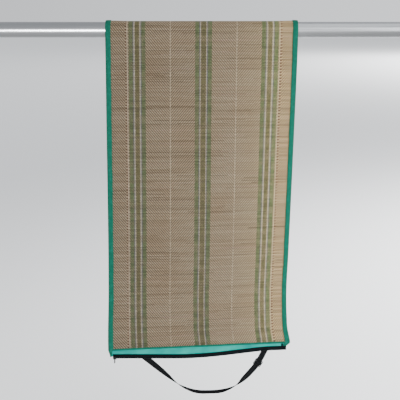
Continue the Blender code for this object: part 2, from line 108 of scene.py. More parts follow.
camera_data = bpy.data.cameras.new("camera")
camera_data.sensor_width = SENSOR
camera_data.lens = FOCAL_PIXELS / PICTURE_WIDTH * SENSOR
camera = bpy.data.objects.new("camera", camera_data)
camera.location = CAMERA_PLACE
camera.rotation_euler = (math.radians(90.0 - CAMERA_DOWN), 0.0, 0.0)
bpy.context.scene.collection.objects.link(camera)
bpy.context.scene.camera = camera
print("lens in mm:", round(camera_data.lens, 1))

# %% [markdown]
# Two helpers serve every material. The first turns a colour, an sRGB hex value, into the linear numbers
# that a shader works with. The second adds one node, sets its properties, and links or fills its
# sockets, so that a long material still reads line by line.

# %% Colour and node helpers
def linear(hex_colour, alpha=1.0):
    """An sRGB colour such as 8a7b66 as linear red, green, blue and alpha."""
    channels = [int(hex_colour[i:i + 2], 16) / 255.0 for i in (0, 2, 4)]
    return tuple(c / 12.92 if c <= 0.04045 else ((c + 0.055) / 1.055) ** 2.4 for c in channels) + (alpha,)


def add_node(tree, kind, settings=None, links=None):
    """A new node with its properties set, and its sockets linked to a node or socket or filled in."""
    node = tree.nodes.new(kind)
    for name, value in (settings or {}).items():
        setattr(node, name, value)
    for socket, value in (links or {}).items():
        if isinstance(value, bpy.types.Node):
            value = value.outputs[0]
        if isinstance(value, bpy.types.NodeSocket):
            tree.links.new(value, node.inputs[socket])
        else:
            node.inputs[socket].default_value = value
    return node


def new_material(name, **sockets):
    """A Principled material with even inputs set on the shader's own sockets."""
    material = bpy.data.materials.new(name)
    material.use_nodes = True
    shader = material.node_tree.nodes["Principled BSDF"]
    for socket, value in sockets.items():
        shader.inputs[socket.replace("_", " ")].default_value = value
    return material, material.node_tree, shader


def fill_ramp(ramp, stops):
    """Gives a colour ramp these stops, each a place from 0 to 1 and a linear colour."""
    elements = ramp.color_ramp.elements
    while len(elements) < len(stops):
        elements.new(1.0)
    for element, (place, colour) in zip(elements, stops):
        element.position = place
        element.color = colour


print("mid grey in linear light:", round(linear("808080")[0], 3))

# %% [markdown]
# The mat is stiff across, because each straw is a little rod, and soft along, because only threads hold
# the straws together. So it bends sharply over the rail, but from side to side it only leans and turns.
# The table below says how it hangs at each height. The functions after it turn a place on the flat mat
# into a point in space, a whole row of straw at a time, which is quick with numpy.

# %% Sizes of the mat
MM = 0.001
GAP = 0.3 * MM                 # between pieces that touch
RAIL_RADIUS = 24.15 * MM
RAIL_LENGTH = 1.400
MAT_WIDTH = 0.600
MAT_LENGTH = 1.800
MAT_THICKNESS = 2.5 * MM
MAT_LEFT = 0.405
FRONT_DROP = 1.040
BACK_FLARE = 12.0 * MM
TAPE = 1.0 * MM
SIDE_TAPE_WIDTH = 17.0 * MM
END_TAPE_WIDTH = 6.0 * MM
CROWN_RADIUS = RAIL_RADIUS + GAP + MAT_THICKNESS / 2
QUARTER = CROWN_RADIUS * math.pi / 2
EDGE_RIDE = TAPE + GAP
EDGE_RIDE_WIDTH = 60.0 * MM
# Two sideways corrections near the front end, fitted by trial: to the right for the bent stripes, and to
# the left for the left edge. A real straw keeps its length, so they don't show how a mat moves.
END_DRAG = 5.0 * MM
END_DRAG_LENGTH = 60.0 * MM
END_DRAG_ACROSS = 0.45
LEFT_DRAG = 5.0 * MM
LEFT_DRAG_LENGTH = 200.0 * MM
LEFT_DRAG_ACROSS = 0.10


class Hang(NamedTuple):
    """How the mat hangs at one height."""
    drop: float         # below the rail's axis, m
    lean: float         # the left edge's place behind the plane under the rail's side, mm
    left_turn: float    # how far the left part faces away from square, degrees
    right_turn: float   # how much further the right part is turned, degrees
    shift: float        # to the right, mm


HANG = (
    Hang(0.00, 0.0, 0.0, 0.0, 0.0),
    Hang(0.10, 0.5, 0.1, 1.2, -0.5),
    Hang(0.30, 4.0, 0.4, 5.0, -1.8),
    Hang(0.51, 10.0, 0.7, 7.8, -3.0),
    Hang(0.72, 16.0, 1.5, 9.0, -5.0),
    Hang(0.90, 8.0, 4.8, 6.2, -6.5),
    Hang(0.98, -7.0, 6.5, 2.5, -5.0),
    Hang(1.05, -24.0, 7.3, 0.0, -2.5),
)
TURN_FROM, TURN_TO = 0.25, 0.75
ACROSS = np.linspace(0.0, MAT_WIDTH, 121)
LONGEST_HANG = 1.15            # m, more than either side hangs


# %% The drape
def smooth_between(rows, value):
    """The row at a value of the first column, on a smooth curve through the table's rows."""
    table = np.array(rows)
    knots = table[:, 0]
    slopes = np.gradient(table, knots, axis=0)
    i = int(np.clip(np.searchsorted(knots, value) - 1, 0, len(knots) - 2))
    span = knots[i + 1] - knots[i]
    t = (value - knots[i]) / span
    return ((1 + 2 * t) * (1 - t) ** 2 * table[i] + t * (1 - t) ** 2 * span * slopes[i]
            + t * t * (3 - 2 * t) * table[i + 1] + t * t * (t - 1) * span * slopes[i + 1])


def eased(share):
    """From 0 to 1 with level ends."""
    share = np.clip(share, 0.0, 1.0)
    return share * share * (3.0 - 2.0 * share)


@lru_cache(maxsize=None)
def plan_curve(drop):
    """The mat seen from above at one height: x and y of its points across."""
    row = Hang(*smooth_between(HANG, drop))
    share = eased((ACROSS / MAT_WIDTH - TURN_FROM) / (TURN_TO - TURN_FROM))
    angle = np.radians(row.left_turn + row.right_turn * share)
    step = ACROSS[1]
    x = np.concatenate([[0.0], np.cumsum(np.cos((angle[1:] + angle[:-1]) / 2) * step)])
    y = np.concatenate([[0.0], np.cumsum(np.sin((angle[1:] + angle[:-1]) / 2) * step)])
    return x + row.shift * MM, y + row.lean * MM


def middle_set(drop):
    """How far behind its plane the mat's middle hangs at one height."""
    return float(np.interp(MAT_WIDTH / 2, ACROSS, plan_curve(round(drop, 4))[1]))


def hang_down():
    """Lengths hung past the rail's side, and the drop that each reaches as the mat sways."""
    step = 5.0 * MM
    hung = np.arange(0.0, LONGEST_HANG, step)
    drops = np.zeros(len(hung))
    for i in range(1, len(hung)):
        slope = (middle_set(drops[i - 1] + step) - middle_set(drops[i - 1])) / step
        drops[i] = drops[i - 1] + step / math.hypot(1.0, slope)
    return hung, drops


HUNG, DROPS = hang_down()
FRONT_END = QUARTER + float(np.interp(FRONT_DROP, DROPS, HUNG))
BACK_END = FRONT_END - MAT_LENGTH


def middle_row(across, along):
    """Points in the middle of the mat's thickness, for many places across at one place along."""
    from_edge = np.minimum(across, MAT_WIDTH - across)
    radius = CROWN_RADIUS + EDGE_RIDE * (1.0 - eased((from_edge - SIDE_TAPE_WIDTH) / EDGE_RIDE_WIDTH))
    if abs(along) <= QUARTER:
        angle = along / CROWN_RADIUS
        return np.column_stack([MAT_LEFT + across, -radius * math.sin(angle), radius * math.cos(angle)])
    hung = abs(along) - QUARTER
    drop = float(np.interp(hung, HUNG, DROPS))
    x, y = plan_curve(round(drop, 4))
    set_back = np.interp(across, ACROSS, y)
    side = -1.0 if along > 0 else 1.0
    if along < 0:
        set_back = set_back + BACK_FLARE * (hung / (-BACK_END - QUARTER)) ** 2
    return np.column_stack([MAT_LEFT + np.interp(across, ACROSS, x), side * radius + set_back,
                            np.full(len(across), -drop)])


def outward_row(across, along):
    """The mat's outward directions at the same places."""
    reach = 2.0 * MM
    to_front = middle_row(across, along + reach) - middle_row(across, along - reach)
    to_right = (middle_row(np.minimum(across + reach, MAT_WIDTH), along)
                - middle_row(np.maximum(across - reach, 0.0), along))
    out = np.cross(to_front, to_right)
    return out / np.linalg.norm(out, axis=1)[:, None]


def mat_row(across, along, proud):
    """Points at heights over the middle of the mat's thickness, also just beyond its edges."""
    across = np.atleast_1d(np.asarray(across, float))
    inside = np.clip(across, 0.0, MAT_WIDTH)
    proud = np.broadcast_to(proud, inside.shape)
    points = middle_row(inside, along) + outward_row(inside, along) * proud[:, None]
    points[:, 0] += across - inside
    return points


def near_front_end(along, length=END_DRAG_LENGTH):
    """From 0 to 1 over the last straws of the front end."""
    return eased((along - FRONT_END + length) / length)


def sewn_row(across, along, proud):
    """Points that go with the straws, with the sideways corrections near the front end."""
    across = np.atleast_1d(np.asarray(across, float))
    to_right = END_DRAG * near_front_end(along) * eased(across / END_DRAG_ACROSS)
    left_share = 1.0 - eased(across / LEFT_DRAG_ACROSS)
    to_left = LEFT_DRAG * near_front_end(along, LEFT_DRAG_LENGTH) * left_share
    return mat_row(across + to_right - to_left, along, proud)


def curtain_row(across, below, proud):
    """Points on or near the strip: behind the mat's end they follow the mat, and below it hang."""
    if below <= 0.0:
        return mat_row(across, FRONT_END + below, proud)
    return mat_row(across, FRONT_END, proud) - np.array([0.0, 0.0, below])


print("along the mat, the back end is at", round(BACK_END, 3), "m and the front end at", round(FRONT_END, 3))

# %% [markdown]
# Cloth starts as Blender's own grid. Each of its corners is moved to a point worked out from the drape,
# and its place on the flat cloth, in metres, becomes its UV. A weave drawn on that UV follows every
# fold. Solidify then gives the thickness, and an optional weight makes it vary.

# %% Cloth helper
def cloth_piece(name, points, places, thickness, material, keep=None, weights=None, thin_share=1.0):
    """A grid of rows by columns of points, with UVs in metres, as a sheet of cloth."""
    rows, columns = points.shape[0] - 1, points.shape[1] - 1
    bm = bmesh.new()
    uv = bm.loops.layers.uv.new("place")
    roundness = bm.verts.layers.deform.verify()
    bmesh.ops.create_grid(bm, x_segments=columns, y_segments=rows, size=1.0)
    cells = {}
    for vertex in bm.verts:
        cells[vertex] = (round((vertex.co.y + 1.0) / 2.0 * rows), round((vertex.co.x + 1.0) / 2.0 * columns))
    if keep:
        lost = []
        for face in bm.faces:
            row = min(cells[vertex][0] for vertex in face.verts)
            column = min(cells[vertex][1] for vertex in face.verts)
            if not keep(row, column):
                lost.append(face)
        bmesh.ops.delete(bm, geom=lost, context="FACES")
    for face in bm.faces:
        for loop in face.loops:
            loop[uv].uv = places[cells[loop.vert]]
    if weights is not None:
        for vertex in bm.verts:
            vertex[roundness][0] = weights[cells[vertex]]
    for vertex in bm.verts:
        vertex.co = points[cells[vertex]]
    mesh = bpy.data.meshes.new(name)
    bm.to_mesh(mesh)
    bm.free()
    mesh.shade_smooth()
    mesh.materials.append(material)
    piece = bpy.data.objects.new(name, mesh)
    bpy.context.scene.collection.objects.link(piece)
    solidify = piece.modifiers.new("Thickness", "SOLIDIFY")
    solidify.thickness = thickness
    solidify.offset = 0.0
    if weights is not None:
        piece.vertex_groups.new(name="roundness")
        solidify.vertex_group = "roundness"
        solidify.thickness_vertex_group = thin_share
    return piece


def belongs(piece, slot, *nodes):
    """The piece rides on the only body and stands for its solids. The slot is not used."""
    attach(piece, "root")
    if nodes:
        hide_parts(*nodes)
    print(piece.name, "has", len(piece.data.polygons), "faces before its modifiers")
    return piece


# %% [markdown]
# The straws lie across the mat and thin threads run along it. Each thread goes over two straws and under
# two, one step later than its neighbour, which draws slanting lines: a twill. Its repeat measures 9.4 by
# 7.8 mm, and four straws and four threads to a repeat, as is usual, make them 2.35 and 1.95 mm apart.
# The lines turn round at three places, so they make a herringbone. Coloured threads, packed so
# close that they hide the straw, form three groups of green, white and olive stripes. Everything is
# mirrored about one line near the middle, so one ramp over the distance from it holds all the stripes.

# %% Straw material
STRAW_PITCH = 2.35 * MM
THREAD_PITCH = 1.95 * MM
PATTERN_MIDDLE = 0.3062        # m, from the mat's left edge
TWILL_TURN = 53                # threads from the middle to where the twill turns round
REPEAT = 4                     # straws and threads in one repeat of the twill
RAMP_REACH = 0.32              # m, the distance that the ramp covers
DOTTED_AT = 241.9 * MM
DOTTED_HALF = (1.4 * MM, 3.1 * MM)     # left and right, the right one drawn wider so that it shows

GREEN, OLIVE = "6b7a4e", "746f45"
WHITE, GREY_BLUE, CREAM = "cbc2ad", "6d6f71", "e2ccaa"
DOTTED_RED = "42150f"
# Painted shade: the stripes are drawn darker towards the hanging end.
LOW_STRIPES = 0.80             # the stripes' brightness at the hanging end, matched by trial


class Band(NamedTuple):
    """A stripe of packed threads, by its two edges' distances from the middle line."""
    start: float    # mm
    stop: float     # mm
    colour: str
    cover: float    # how much of the straw it hides


BANDS = (
    Band(0.0, 6.4, OLIVE, 0.92),
    Band(7.7, 11.2, WHITE, 0.90),
    Band(11.2, 13.4, GREY_BLUE, 0.90),
    Band(13.4, 25.8, GREEN, 0.92),
    Band(101.9, 104.7, CREAM, 0.94),
    Band(181.2, 193.6, GREEN, 0.92),
    Band(193.6, 195.8, GREY_BLUE, 0.90),
    Band(195.8, 199.3, WHITE, 0.90),
    Band(200.6, 213.4, OLIVE, 0.92),
    Band(214.7, 218.2, WHITE, 0.90),
    Band(218.2, 220.4, GREY_BLUE, 0.90),
    Band(220.4, 232.8, GREEN, 0.92),
    Band(235.9, 238.8, CREAM, 0.85),
)


class PaleAndLit(NamedTuple):
    """How pale the mat is at a place across it, in red, green and blue: its own tone with painted light, and
    how its straws differ.
    """
    across: float       # m
    red: float
    green: float
    blue: float
    # Painted shade and sheen: a thread on top is drawn darker, partly its own colour and partly painted
    # shade, and less dark towards the right as painted sheen.
    thread: float       # how dark a thread on top looks
    line: float         # how much one straw is lighter or darker than the next


# Painted light: paleness and thread darkness across the mat, partly its own tone and partly painted light and
# sheen from the right.
PALE_AND_LIT = (
    PaleAndLit(0.000, 0.50, 0.50, 0.51, 0.74, 0.17),
    PaleAndLit(0.200, 0.53, 0.53, 0.54, 0.72, 0.06),
    PaleAndLit(0.400, 0.54, 0.54, 0.54, 0.62, 0.04),
    PaleAndLit(0.475, 0.60, 0.60, 0.56, 0.57, 0.05),
    PaleAndLit(0.515, 0.74, 0.74, 0.68, 0.57, 0.06),
    PaleAndLit(0.544, 0.85, 0.85, 0.72, 0.57, 0.12),
    PaleAndLit(0.551, 1.00, 0.94, 0.76, 0.75, 0.31),
    PaleAndLit(0.600, 1.00, 0.94, 0.76, 0.75, 0.31),
)

straw, tree, shader = new_material("woven_straw", Roughness=0.62, Specular_IOR_Level=0.3)
place = add_node(tree, "ShaderNodeUVMap", {"uv_map": "place"})
parts = add_node(tree, "ShaderNodeSeparateXYZ", None, {0: place})
across, along = parts.outputs[0], parts.outputs[1]
offset = add_node(tree, "ShaderNodeMath", {"operation": "SUBTRACT"}, {0: across, 1: PATTERN_MIDDLE})
from_middle = add_node(tree, "ShaderNodeMath", {"operation": "ABSOLUTE"}, {0: offset})
straw_at = add_node(tree, "ShaderNodeMath", {"operation": "DIVIDE"}, {0: along, 1: STRAW_PITCH})
straw_number = add_node(tree, "ShaderNodeMath", {"operation": "FLOOR"}, {0: straw_at})
thread_at = add_node(tree, "ShaderNodeMath", {"operation": "DIVIDE"}, {0: from_middle, 1: THREAD_PITCH})
thread_number = add_node(tree, "ShaderNodeMath", {"operation": "FLOOR"}, {0: thread_at})
in_thread = add_node(tree, "ShaderNodeMath", {"operation": "FRACT"}, {0: thread_at})
past_turn = add_node(tree, "ShaderNodeMath", {"operation": "SUBTRACT"}, {0: thread_number, 1: TWILL_TURN})
turned = add_node(tree, "ShaderNodeMath", {"operation": "ABSOLUTE"}, {0: past_turn})
both = add_node(tree, "ShaderNodeMath", {"operation": "ADD"}, {0: turned, 1: straw_number})
phase = add_node(tree, "ShaderNodeMath", {"operation": "FLOORED_MODULO"}, {0: both, 1: REPEAT})
thread_on_top = add_node(tree, "ShaderNodeMath", {"operation": "LESS_THAN"}, {0: phase, 1: REPEAT / 2 - 0.5})

# %% [markdown]
# No two straws are alike. A random number for each straw, and another for each length of it between
# splices, picks its colour from a ramp that runs from a few dark ones to the pale majority. Large soft
# blotches make some of the mat a little browner. A ramp across it makes the right side paler, partly as
# the straws' own paler tone and partly as painted light from the right, and it draws the threads on top
# less dark towards the right as painted sheen, except in the palest zone at the far right. That ramp was
# matched to the picture by trial. Each straw, and each batch of a few straws, is a little lighter or
# darker than the next, most of all near the mat's edges, and so is each crossing of a straw and a thread.

# %% Straw colours
splice = add_node(tree, "ShaderNodeMath", {"operation": "MULTIPLY_ADD"}, {0: across, 1: 6.0, 2: 0.0})
own = add_node(tree, "ShaderNodeTexWhiteNoise", {"noise_dimensions": "1D"}, {"W": straw_number})
moved = add_node(tree, "ShaderNodeMath", {"operation": "MULTIPLY_ADD"}, {0: own, 1: 5.0, 2: splice})
length_number = add_node(tree, "ShaderNodeMath", {"operation": "FLOOR"}, {0: moved})
cell = add_node(tree, "ShaderNodeCombineXYZ", None, {0: straw_number, 1: length_number})
chance = add_node(tree, "ShaderNodeTexWhiteNoise", {"noise_dimensions": "2D"}, {"Vector": cell})
straw_ramp = add_node(tree, "ShaderNodeValToRGB", None, {0: chance})
fill_ramp(straw_ramp, [
    (0.00, linear("978366")), (0.04, linear("b79f7e")), (0.30, linear("cbb28e")),
    (0.75, linear("d2bb98")), (0.94, linear("ddc6a3")), (1.00, linear("d0b094")),
])
blotch = add_node(tree, "ShaderNodeTexNoise", None, {"Vector": place, "Scale": 9.0, "Detail": 3.0})
blotch_ramp = add_node(tree, "ShaderNodeValToRGB", None, {0: blotch})
fill_ramp(blotch_ramp, [(0.34, (0.94, 0.90, 0.86, 1.0)), (0.66, (0.99, 1.0, 1.0, 1.0))])
shaded = add_node(tree, "ShaderNodeVectorMath", {"operation": "MULTIPLY"}, {0: straw_ramp, 1: blotch_ramp})
over_width = add_node(tree, "ShaderNodeMath", {"operation": "DIVIDE"}, {0: across, 1: MAT_WIDTH})
# Painted light: this ramp makes the right side paler, partly the straws' own tone and partly painted light,
# and its alpha sets how dark the threads are drawn.
pale_and_lit_ramp = add_node(tree, "ShaderNodeValToRGB", None, {0: over_width})
fill_ramp(pale_and_lit_ramp, [(tone_at.across / MAT_WIDTH, (tone_at.red, tone_at.green, tone_at.blue, tone_at.thread))
                      for tone_at in PALE_AND_LIT])
depth = add_node(tree, "ShaderNodeMath", {"operation": "MULTIPLY"},
                 {0: thread_on_top, 1: pale_and_lit_ramp.outputs["Alpha"]})
woven = add_node(tree, "ShaderNodeMath", {"operation": "SUBTRACT"}, {0: 1.0, 1: depth})
crossing = add_node(tree, "ShaderNodeCombineXYZ", None, {0: straw_number, 1: thread_number})
crossing_chance = add_node(tree, "ShaderNodeTexWhiteNoise", {"noise_dimensions": "2D"},
                           {"Vector": crossing})
crossing_tone = add_node(tree, "ShaderNodeMapRange", None, {0: crossing_chance, 3: 0.90, 4: 1.10})
line_ramp = add_node(tree, "ShaderNodeValToRGB", None, {0: over_width})
fill_ramp(line_ramp, [(tone_at.across / MAT_WIDTH, (tone_at.line, tone_at.line, tone_at.line, 1.0)) for tone_at in PALE_AND_LIT])
batch = add_node(tree, "ShaderNodeTexNoise", {"noise_dimensions": "1D"},
                 {"W": along, "Scale": 110.0, "Detail": 1.0})
batch_side = add_node(tree, "ShaderNodeMapRange", None, {0: batch, 1: 0.35, 2: 0.65, 3: -1.3, 4: -0.3})
line_side = add_node(tree, "ShaderNodeMath", {"operation": "MULTIPLY_ADD"}, {0: own, 1: 1.6, 2: batch_side})
line_tone = add_node(tree, "ShaderNodeMath", {"operation": "MULTIPLY_ADD"},
                     {0: line_side, 1: line_ramp, 2: crossing_tone})
weave_tone = add_node(tree, "ShaderNodeMath", {"operation": "MULTIPLY"}, {0: woven, 1: line_tone})
weave_colour = add_node(tree, "ShaderNodeVectorMath", {"operation": "SCALE"}, {0: shaded, 3: weave_tone})

# %% Stripes
reach = add_node(tree, "ShaderNodeMath", {"operation": "DIVIDE"}, {0: from_middle, 1: RAMP_REACH})
stripe_ramp = add_node(tree, "ShaderNodeValToRGB", None, {0: reach})
stripe_ramp.color_ramp.interpolation = "CONSTANT"
colours = {}
for band in BANDS:
    colours[band.start] = linear(band.colour, band.cover)
    colours[band.stop] = linear(CREAM, 0.0)
fill_ramp(stripe_ramp, [(at * MM / RAMP_REACH, colour) for at, colour in sorted(colours.items())])
uneven = add_node(tree, "ShaderNodeMapRange", None, {0: crossing_chance, 3: 0.72, 4: 1.28})
rib = add_node(tree, "ShaderNodeMapRange", None, {0: own, 3: 0.70, 4: 1.30})
raised = add_node(tree, "ShaderNodeMapRange", None, {0: thread_on_top, 3: 0.88, 4: 1.12})
rib_tone = add_node(tree, "ShaderNodeMath", {"operation": "MULTIPLY"}, {0: uneven, 1: rib})
# Painted shade: the stripes darken towards the hanging end.
low_down = add_node(tree, "ShaderNodeMapRange", None, {0: along, 2: FRONT_END, 3: 1.0, 4: LOW_STRIPES})
raised_low = add_node(tree, "ShaderNodeMath", {"operation": "MULTIPLY"}, {0: raised, 1: low_down})
stripe_tone = add_node(tree, "ShaderNodeMath", {"operation": "MULTIPLY"}, {0: rib_tone, 1: raised_low})
ribbed = add_node(tree, "ShaderNodeVectorMath", {"operation": "SCALE"}, {0: stripe_ramp, 3: stripe_tone})
rubbed = add_node(tree, "ShaderNodeTexNoise", None, {"Vector": place, "Scale": 36.0, "Detail": 3.0})
left_over = add_node(tree, "ShaderNodeMapRange", None, {0: rubbed, 1: 0.38, 2: 0.58, 3: 0.70, 4: 1.0})
cover = add_node(tree, "ShaderNodeMath", {"operation": "MULTIPLY"},
                 {0: stripe_ramp.outputs["Alpha"], 1: left_over})
striped = add_node(tree, "ShaderNodeMix", {"data_type": "RGBA"}, {0: cover, 6: weave_colour, 7: ribbed})
on_right = add_node(tree, "ShaderNodeMath", {"operation": "GREATER_THAN"}, {0: offset, 1: 0.0})
dotted_half = add_node(tree, "ShaderNodeMapRange", None,
                       {0: on_right, 3: DOTTED_HALF[0], 4: DOTTED_HALF[1]})
near_dotted = add_node(tree, "ShaderNodeMath", {"operation": "COMPARE"},
                       {0: from_middle, 1: DOTTED_AT, 2: dotted_half})
beat = add_node(tree, "ShaderNodeMath", {"operation": "FLOORED_MODULO"}, {0: straw_number, 1: REPEAT})
dot = add_node(tree, "ShaderNodeMath", {"operation": "LESS_THAN"}, {0: beat, 1: REPEAT / 2 - 0.5})
cleared = add_node(tree, "ShaderNodeMix", {"data_type": "RGBA"},
                   {0: near_dotted, 6: striped.outputs[2], 7: shaded})
# Painted light: the paleness across the mat, partly its own tone and partly painted light from the right, is
# multiplied in here.
paled_and_lit = add_node(tree, "ShaderNodeVectorMath", {"operation": "MULTIPLY"},
                 {0: cleared.outputs[2], 1: pale_and_lit_ramp})
red_here = add_node(tree, "ShaderNodeMath", {"operation": "MULTIPLY"}, {0: near_dotted, 1: dot})
dotted = add_node(tree, "ShaderNodeMix", {"data_type": "RGBA"},
                  {0: red_here, 6: paled_and_lit, 7: linear(DOTTED_RED)})
tree.links.new(dotted.outputs[2], shader.inputs["Base Color"])
thread_wave = add_node(tree, "ShaderNodeMath", {"operation": "PINGPONG"}, {0: in_thread, 1: 0.5})
thread_height = add_node(tree, "ShaderNodeMath", {"operation": "MULTIPLY"},
                         {0: thread_wave, 1: thread_on_top})
bump = add_node(tree, "ShaderNodeBump", None,
                {"Strength": 0.6, "Distance": 0.6 * MM, "Height": thread_height})
tree.links.new(bump.outputs[0], shader.inputs["Normal"])
print("stripes:", len(BANDS), "bands on each side of the middle")

# %% [markdown]
# The sheet itself has four rows of corners to each straw: one in the valley beside it and three round
# its back. The thickness follows those rows, so that both faces swell over each straw and the mesh is
# truly ribbed. The columns are far apart, because a straw is nearly straight, and closer at the edges.

# %% Straw mat
STRAW_EDGE = 2.6 * MM          # the straws' ends, inside the fold of the tape
ROUNDNESS = (0.0, 0.8, 1.0, 0.8)
VALLEY_SHARE = 0.35
STRAW_THICKNESS = 2.3 * MM
half_columns = [STRAW_EDGE, 18 * MM, 36 * MM, 56 * MM, 78 * MM, 160 * MM, 230 * MM]
columns = np.array(half_columns + [MAT_WIDTH / 2] + [MAT_WIDTH - c for c in reversed(half_columns)])

first_straw = math.ceil((BACK_END + STRAW_EDGE) / STRAW_PITCH)
last_straw = math.floor((FRONT_END - STRAW_EDGE) / STRAW_PITCH)
along_rows = np.arange(first_straw * len(ROUNDNESS), last_straw * len(ROUNDNESS) + 1) \
    * STRAW_PITCH / len(ROUNDNESS)
points = np.array([sewn_row(columns, float(row), 0.0) for row in along_rows])
places = np.stack(np.meshgrid(columns, along_rows), axis=2)
weights = np.zeros(points.shape[:2])
for step, share in enumerate(ROUNDNESS):
    weights[step::len(ROUNDNESS)] = share
mat = cloth_piece("straw_mat", points, places, STRAW_THICKNESS, straw, weights=weights,
                  thin_share=VALLEY_SHARE)
belongs(mat, "straw", "mat")
print("straws:", last_straw - first_straw)

# %% [markdown]
# Each long edge is bound with teal cotton tape, folded in half over the straws' cut ends and sewn
# through. The sheet for it runs across the tape in columns, from the front edge round a half circle to
# the back edge, and along the mat in rows. A little uneven width and some puckering keep it from looking
# machined. At the lower end the front half runs on and turns down over the end of the strip.

# %% Cotton tape material
WAVE_TURN = 2.0 * math.pi / 20.0      # a wave texture of scale 1 repeats every WAVE_TURN units
TAPE_RIB = 1.6 * MM                   # a usual rib of 0.5 mm is too fine to show, so it is drawn coarser


def tape_material(name, deep, plain, worn):
    """Ribbed cotton tape: a soft dull surface, with ribs across it and paler rubbed patches."""
    material, tree, shader = new_material(name, Roughness=0.85, Specular_IOR_Level=0.15)
    place = add_node(tree, "ShaderNodeUVMap", {"uv_map": "place"})
    ribs = add_node(tree, "ShaderNodeTexWave", {"bands_direction": "Y"},
                    {"Vector": place, "Scale": WAVE_TURN / TAPE_RIB, "Distortion": 0.6})
    rubbed = add_node(tree, "ShaderNodeTexNoise", None, {"Vector": place, "Scale": 90.0, "Detail": 4.0})
    ramp = add_node(tree, "ShaderNodeValToRGB", None, {0: rubbed})
    fill_ramp(ramp, [(0.30, linear(deep)), (0.52, linear(plain)), (0.75, linear(worn))])
    rib_tone = add_node(tree, "ShaderNodeMapRange", None, {0: ribs.outputs["Fac"], 3: 0.86, 4: 1.06})
    colour = add_node(tree, "ShaderNodeVectorMath", {"operation": "SCALE"}, {0: ramp, 3: rib_tone})
    tree.links.new(colour.outputs[0], shader.inputs["Base Color"])
    bump = add_node(tree, "ShaderNodeBump", None,
                    {"Strength": 0.5, "Distance": 0.3 * MM, "Height": ribs.outputs["Fac"]})
    tree.links.new(bump.outputs[0], shader.inputs["Normal"])
    return material


teal_tape = tape_material("cotton_tape_teal", "0e5c4a", "116853", "1c7362")

# %% Folded tape
TAPE_PROUD = MAT_THICKNESS / 2 + GAP + TAPE / 2     # the tape's middle, over the mat's middle
TAPE_PUFF = 0.35 * MM                               # how far the tape stands off in its middle
FOLD_CENTRE = TAPE / 2 + TAPE_PROUD                 # the fold's axis, from the edge
CLOTH_THICKNESS = 0.9 * MM
ROW = 4.0 * MM
FLAT_COLUMNS, FOLD_COLUMNS = 6, 8
TAPE_UNEVEN, END_TAPE_UNEVEN = 0.5 * MM, 0.3 * MM   # how far the inner edges stray
TAPE_PUCKER = 0.15 * MM
WANDER_LONG, WANDER_SHORT = 21.0 * MM, 8.3 * MM


def fold_profile(width):
    """Inset and height pairs along the folded tape's middle line, from its front edge to its back."""
    front = []
    for share in np.linspace(0.0, 1.0, FLAT_COLUMNS, endpoint=False):
        inset = width + (FOLD_CENTRE - width) * share
        front.append((inset, TAPE_PROUD + TAPE_PUFF * math.sin(math.pi * share)))
    turn = [math.pi * step / FOLD_COLUMNS for step in range(FOLD_COLUMNS + 1)]
    fold = [(FOLD_CENTRE - TAPE_PROUD * math.sin(a), TAPE_PROUD * math.cos(a)) for a in turn]
    return np.array(front + fold + [(inset, -height) for inset, height in reversed(front)])


def around(profile):
    """The length along a profile up to each of its points."""
    return np.concatenate([[0.0], np.cumsum(np.linalg.norm(np.diff(profile, axis=0), axis=1))])


def wander(along, seed):
    """A slow unevenness between -1 and 1, different for each seed."""
    return 0.6 * np.sin(along / WANDER_LONG + 2.1 * seed) + 0.4 * np.sin(along / WANDER_SHORT + 3.7 * seed)


class FlapRow(NamedTuple):
    """A row of the tape's end below the mat, where it turns behind and down over the strip's end."""
    below: float    # below the mat's end, mm
    outer: float    # its outer edge, from the mat's edge, mm
    inner: float    # its inner edge, from the mat's edge, mm
    proud: float    # its share of the way from the strip's front, 0, to the tape's face, 1


LEFT_FLAP = (
    FlapRow(1.5, -4.0, 8.5, 0.75),
    FlapRow(4.0, -3.0, 7.5, 0.0),
    FlapRow(12.0, -0.5, 7.5, 0.0),
    FlapRow(21.0, 1.0, 7.5, 0.0),
)
RIGHT_FLAP = (
    FlapRow(1.5, -4.5, 13.5, 0.75),
    FlapRow(4.0, -1.5, 16.2, 0.0),
    FlapRow(9.0, 4.0, 16.2, 0.0),
)
CORNER_FLARE = 2.0 * MM        # more at the tape's outer edge than at the straws
STRIP_PROUD = -(MAT_THICKNESS / 2 + GAP + TAPE + GAP + TAPE / 2)
ZIP_PROUD = STRIP_PROUD + TAPE + GAP
FLAP_STEP = 1.5 * MM


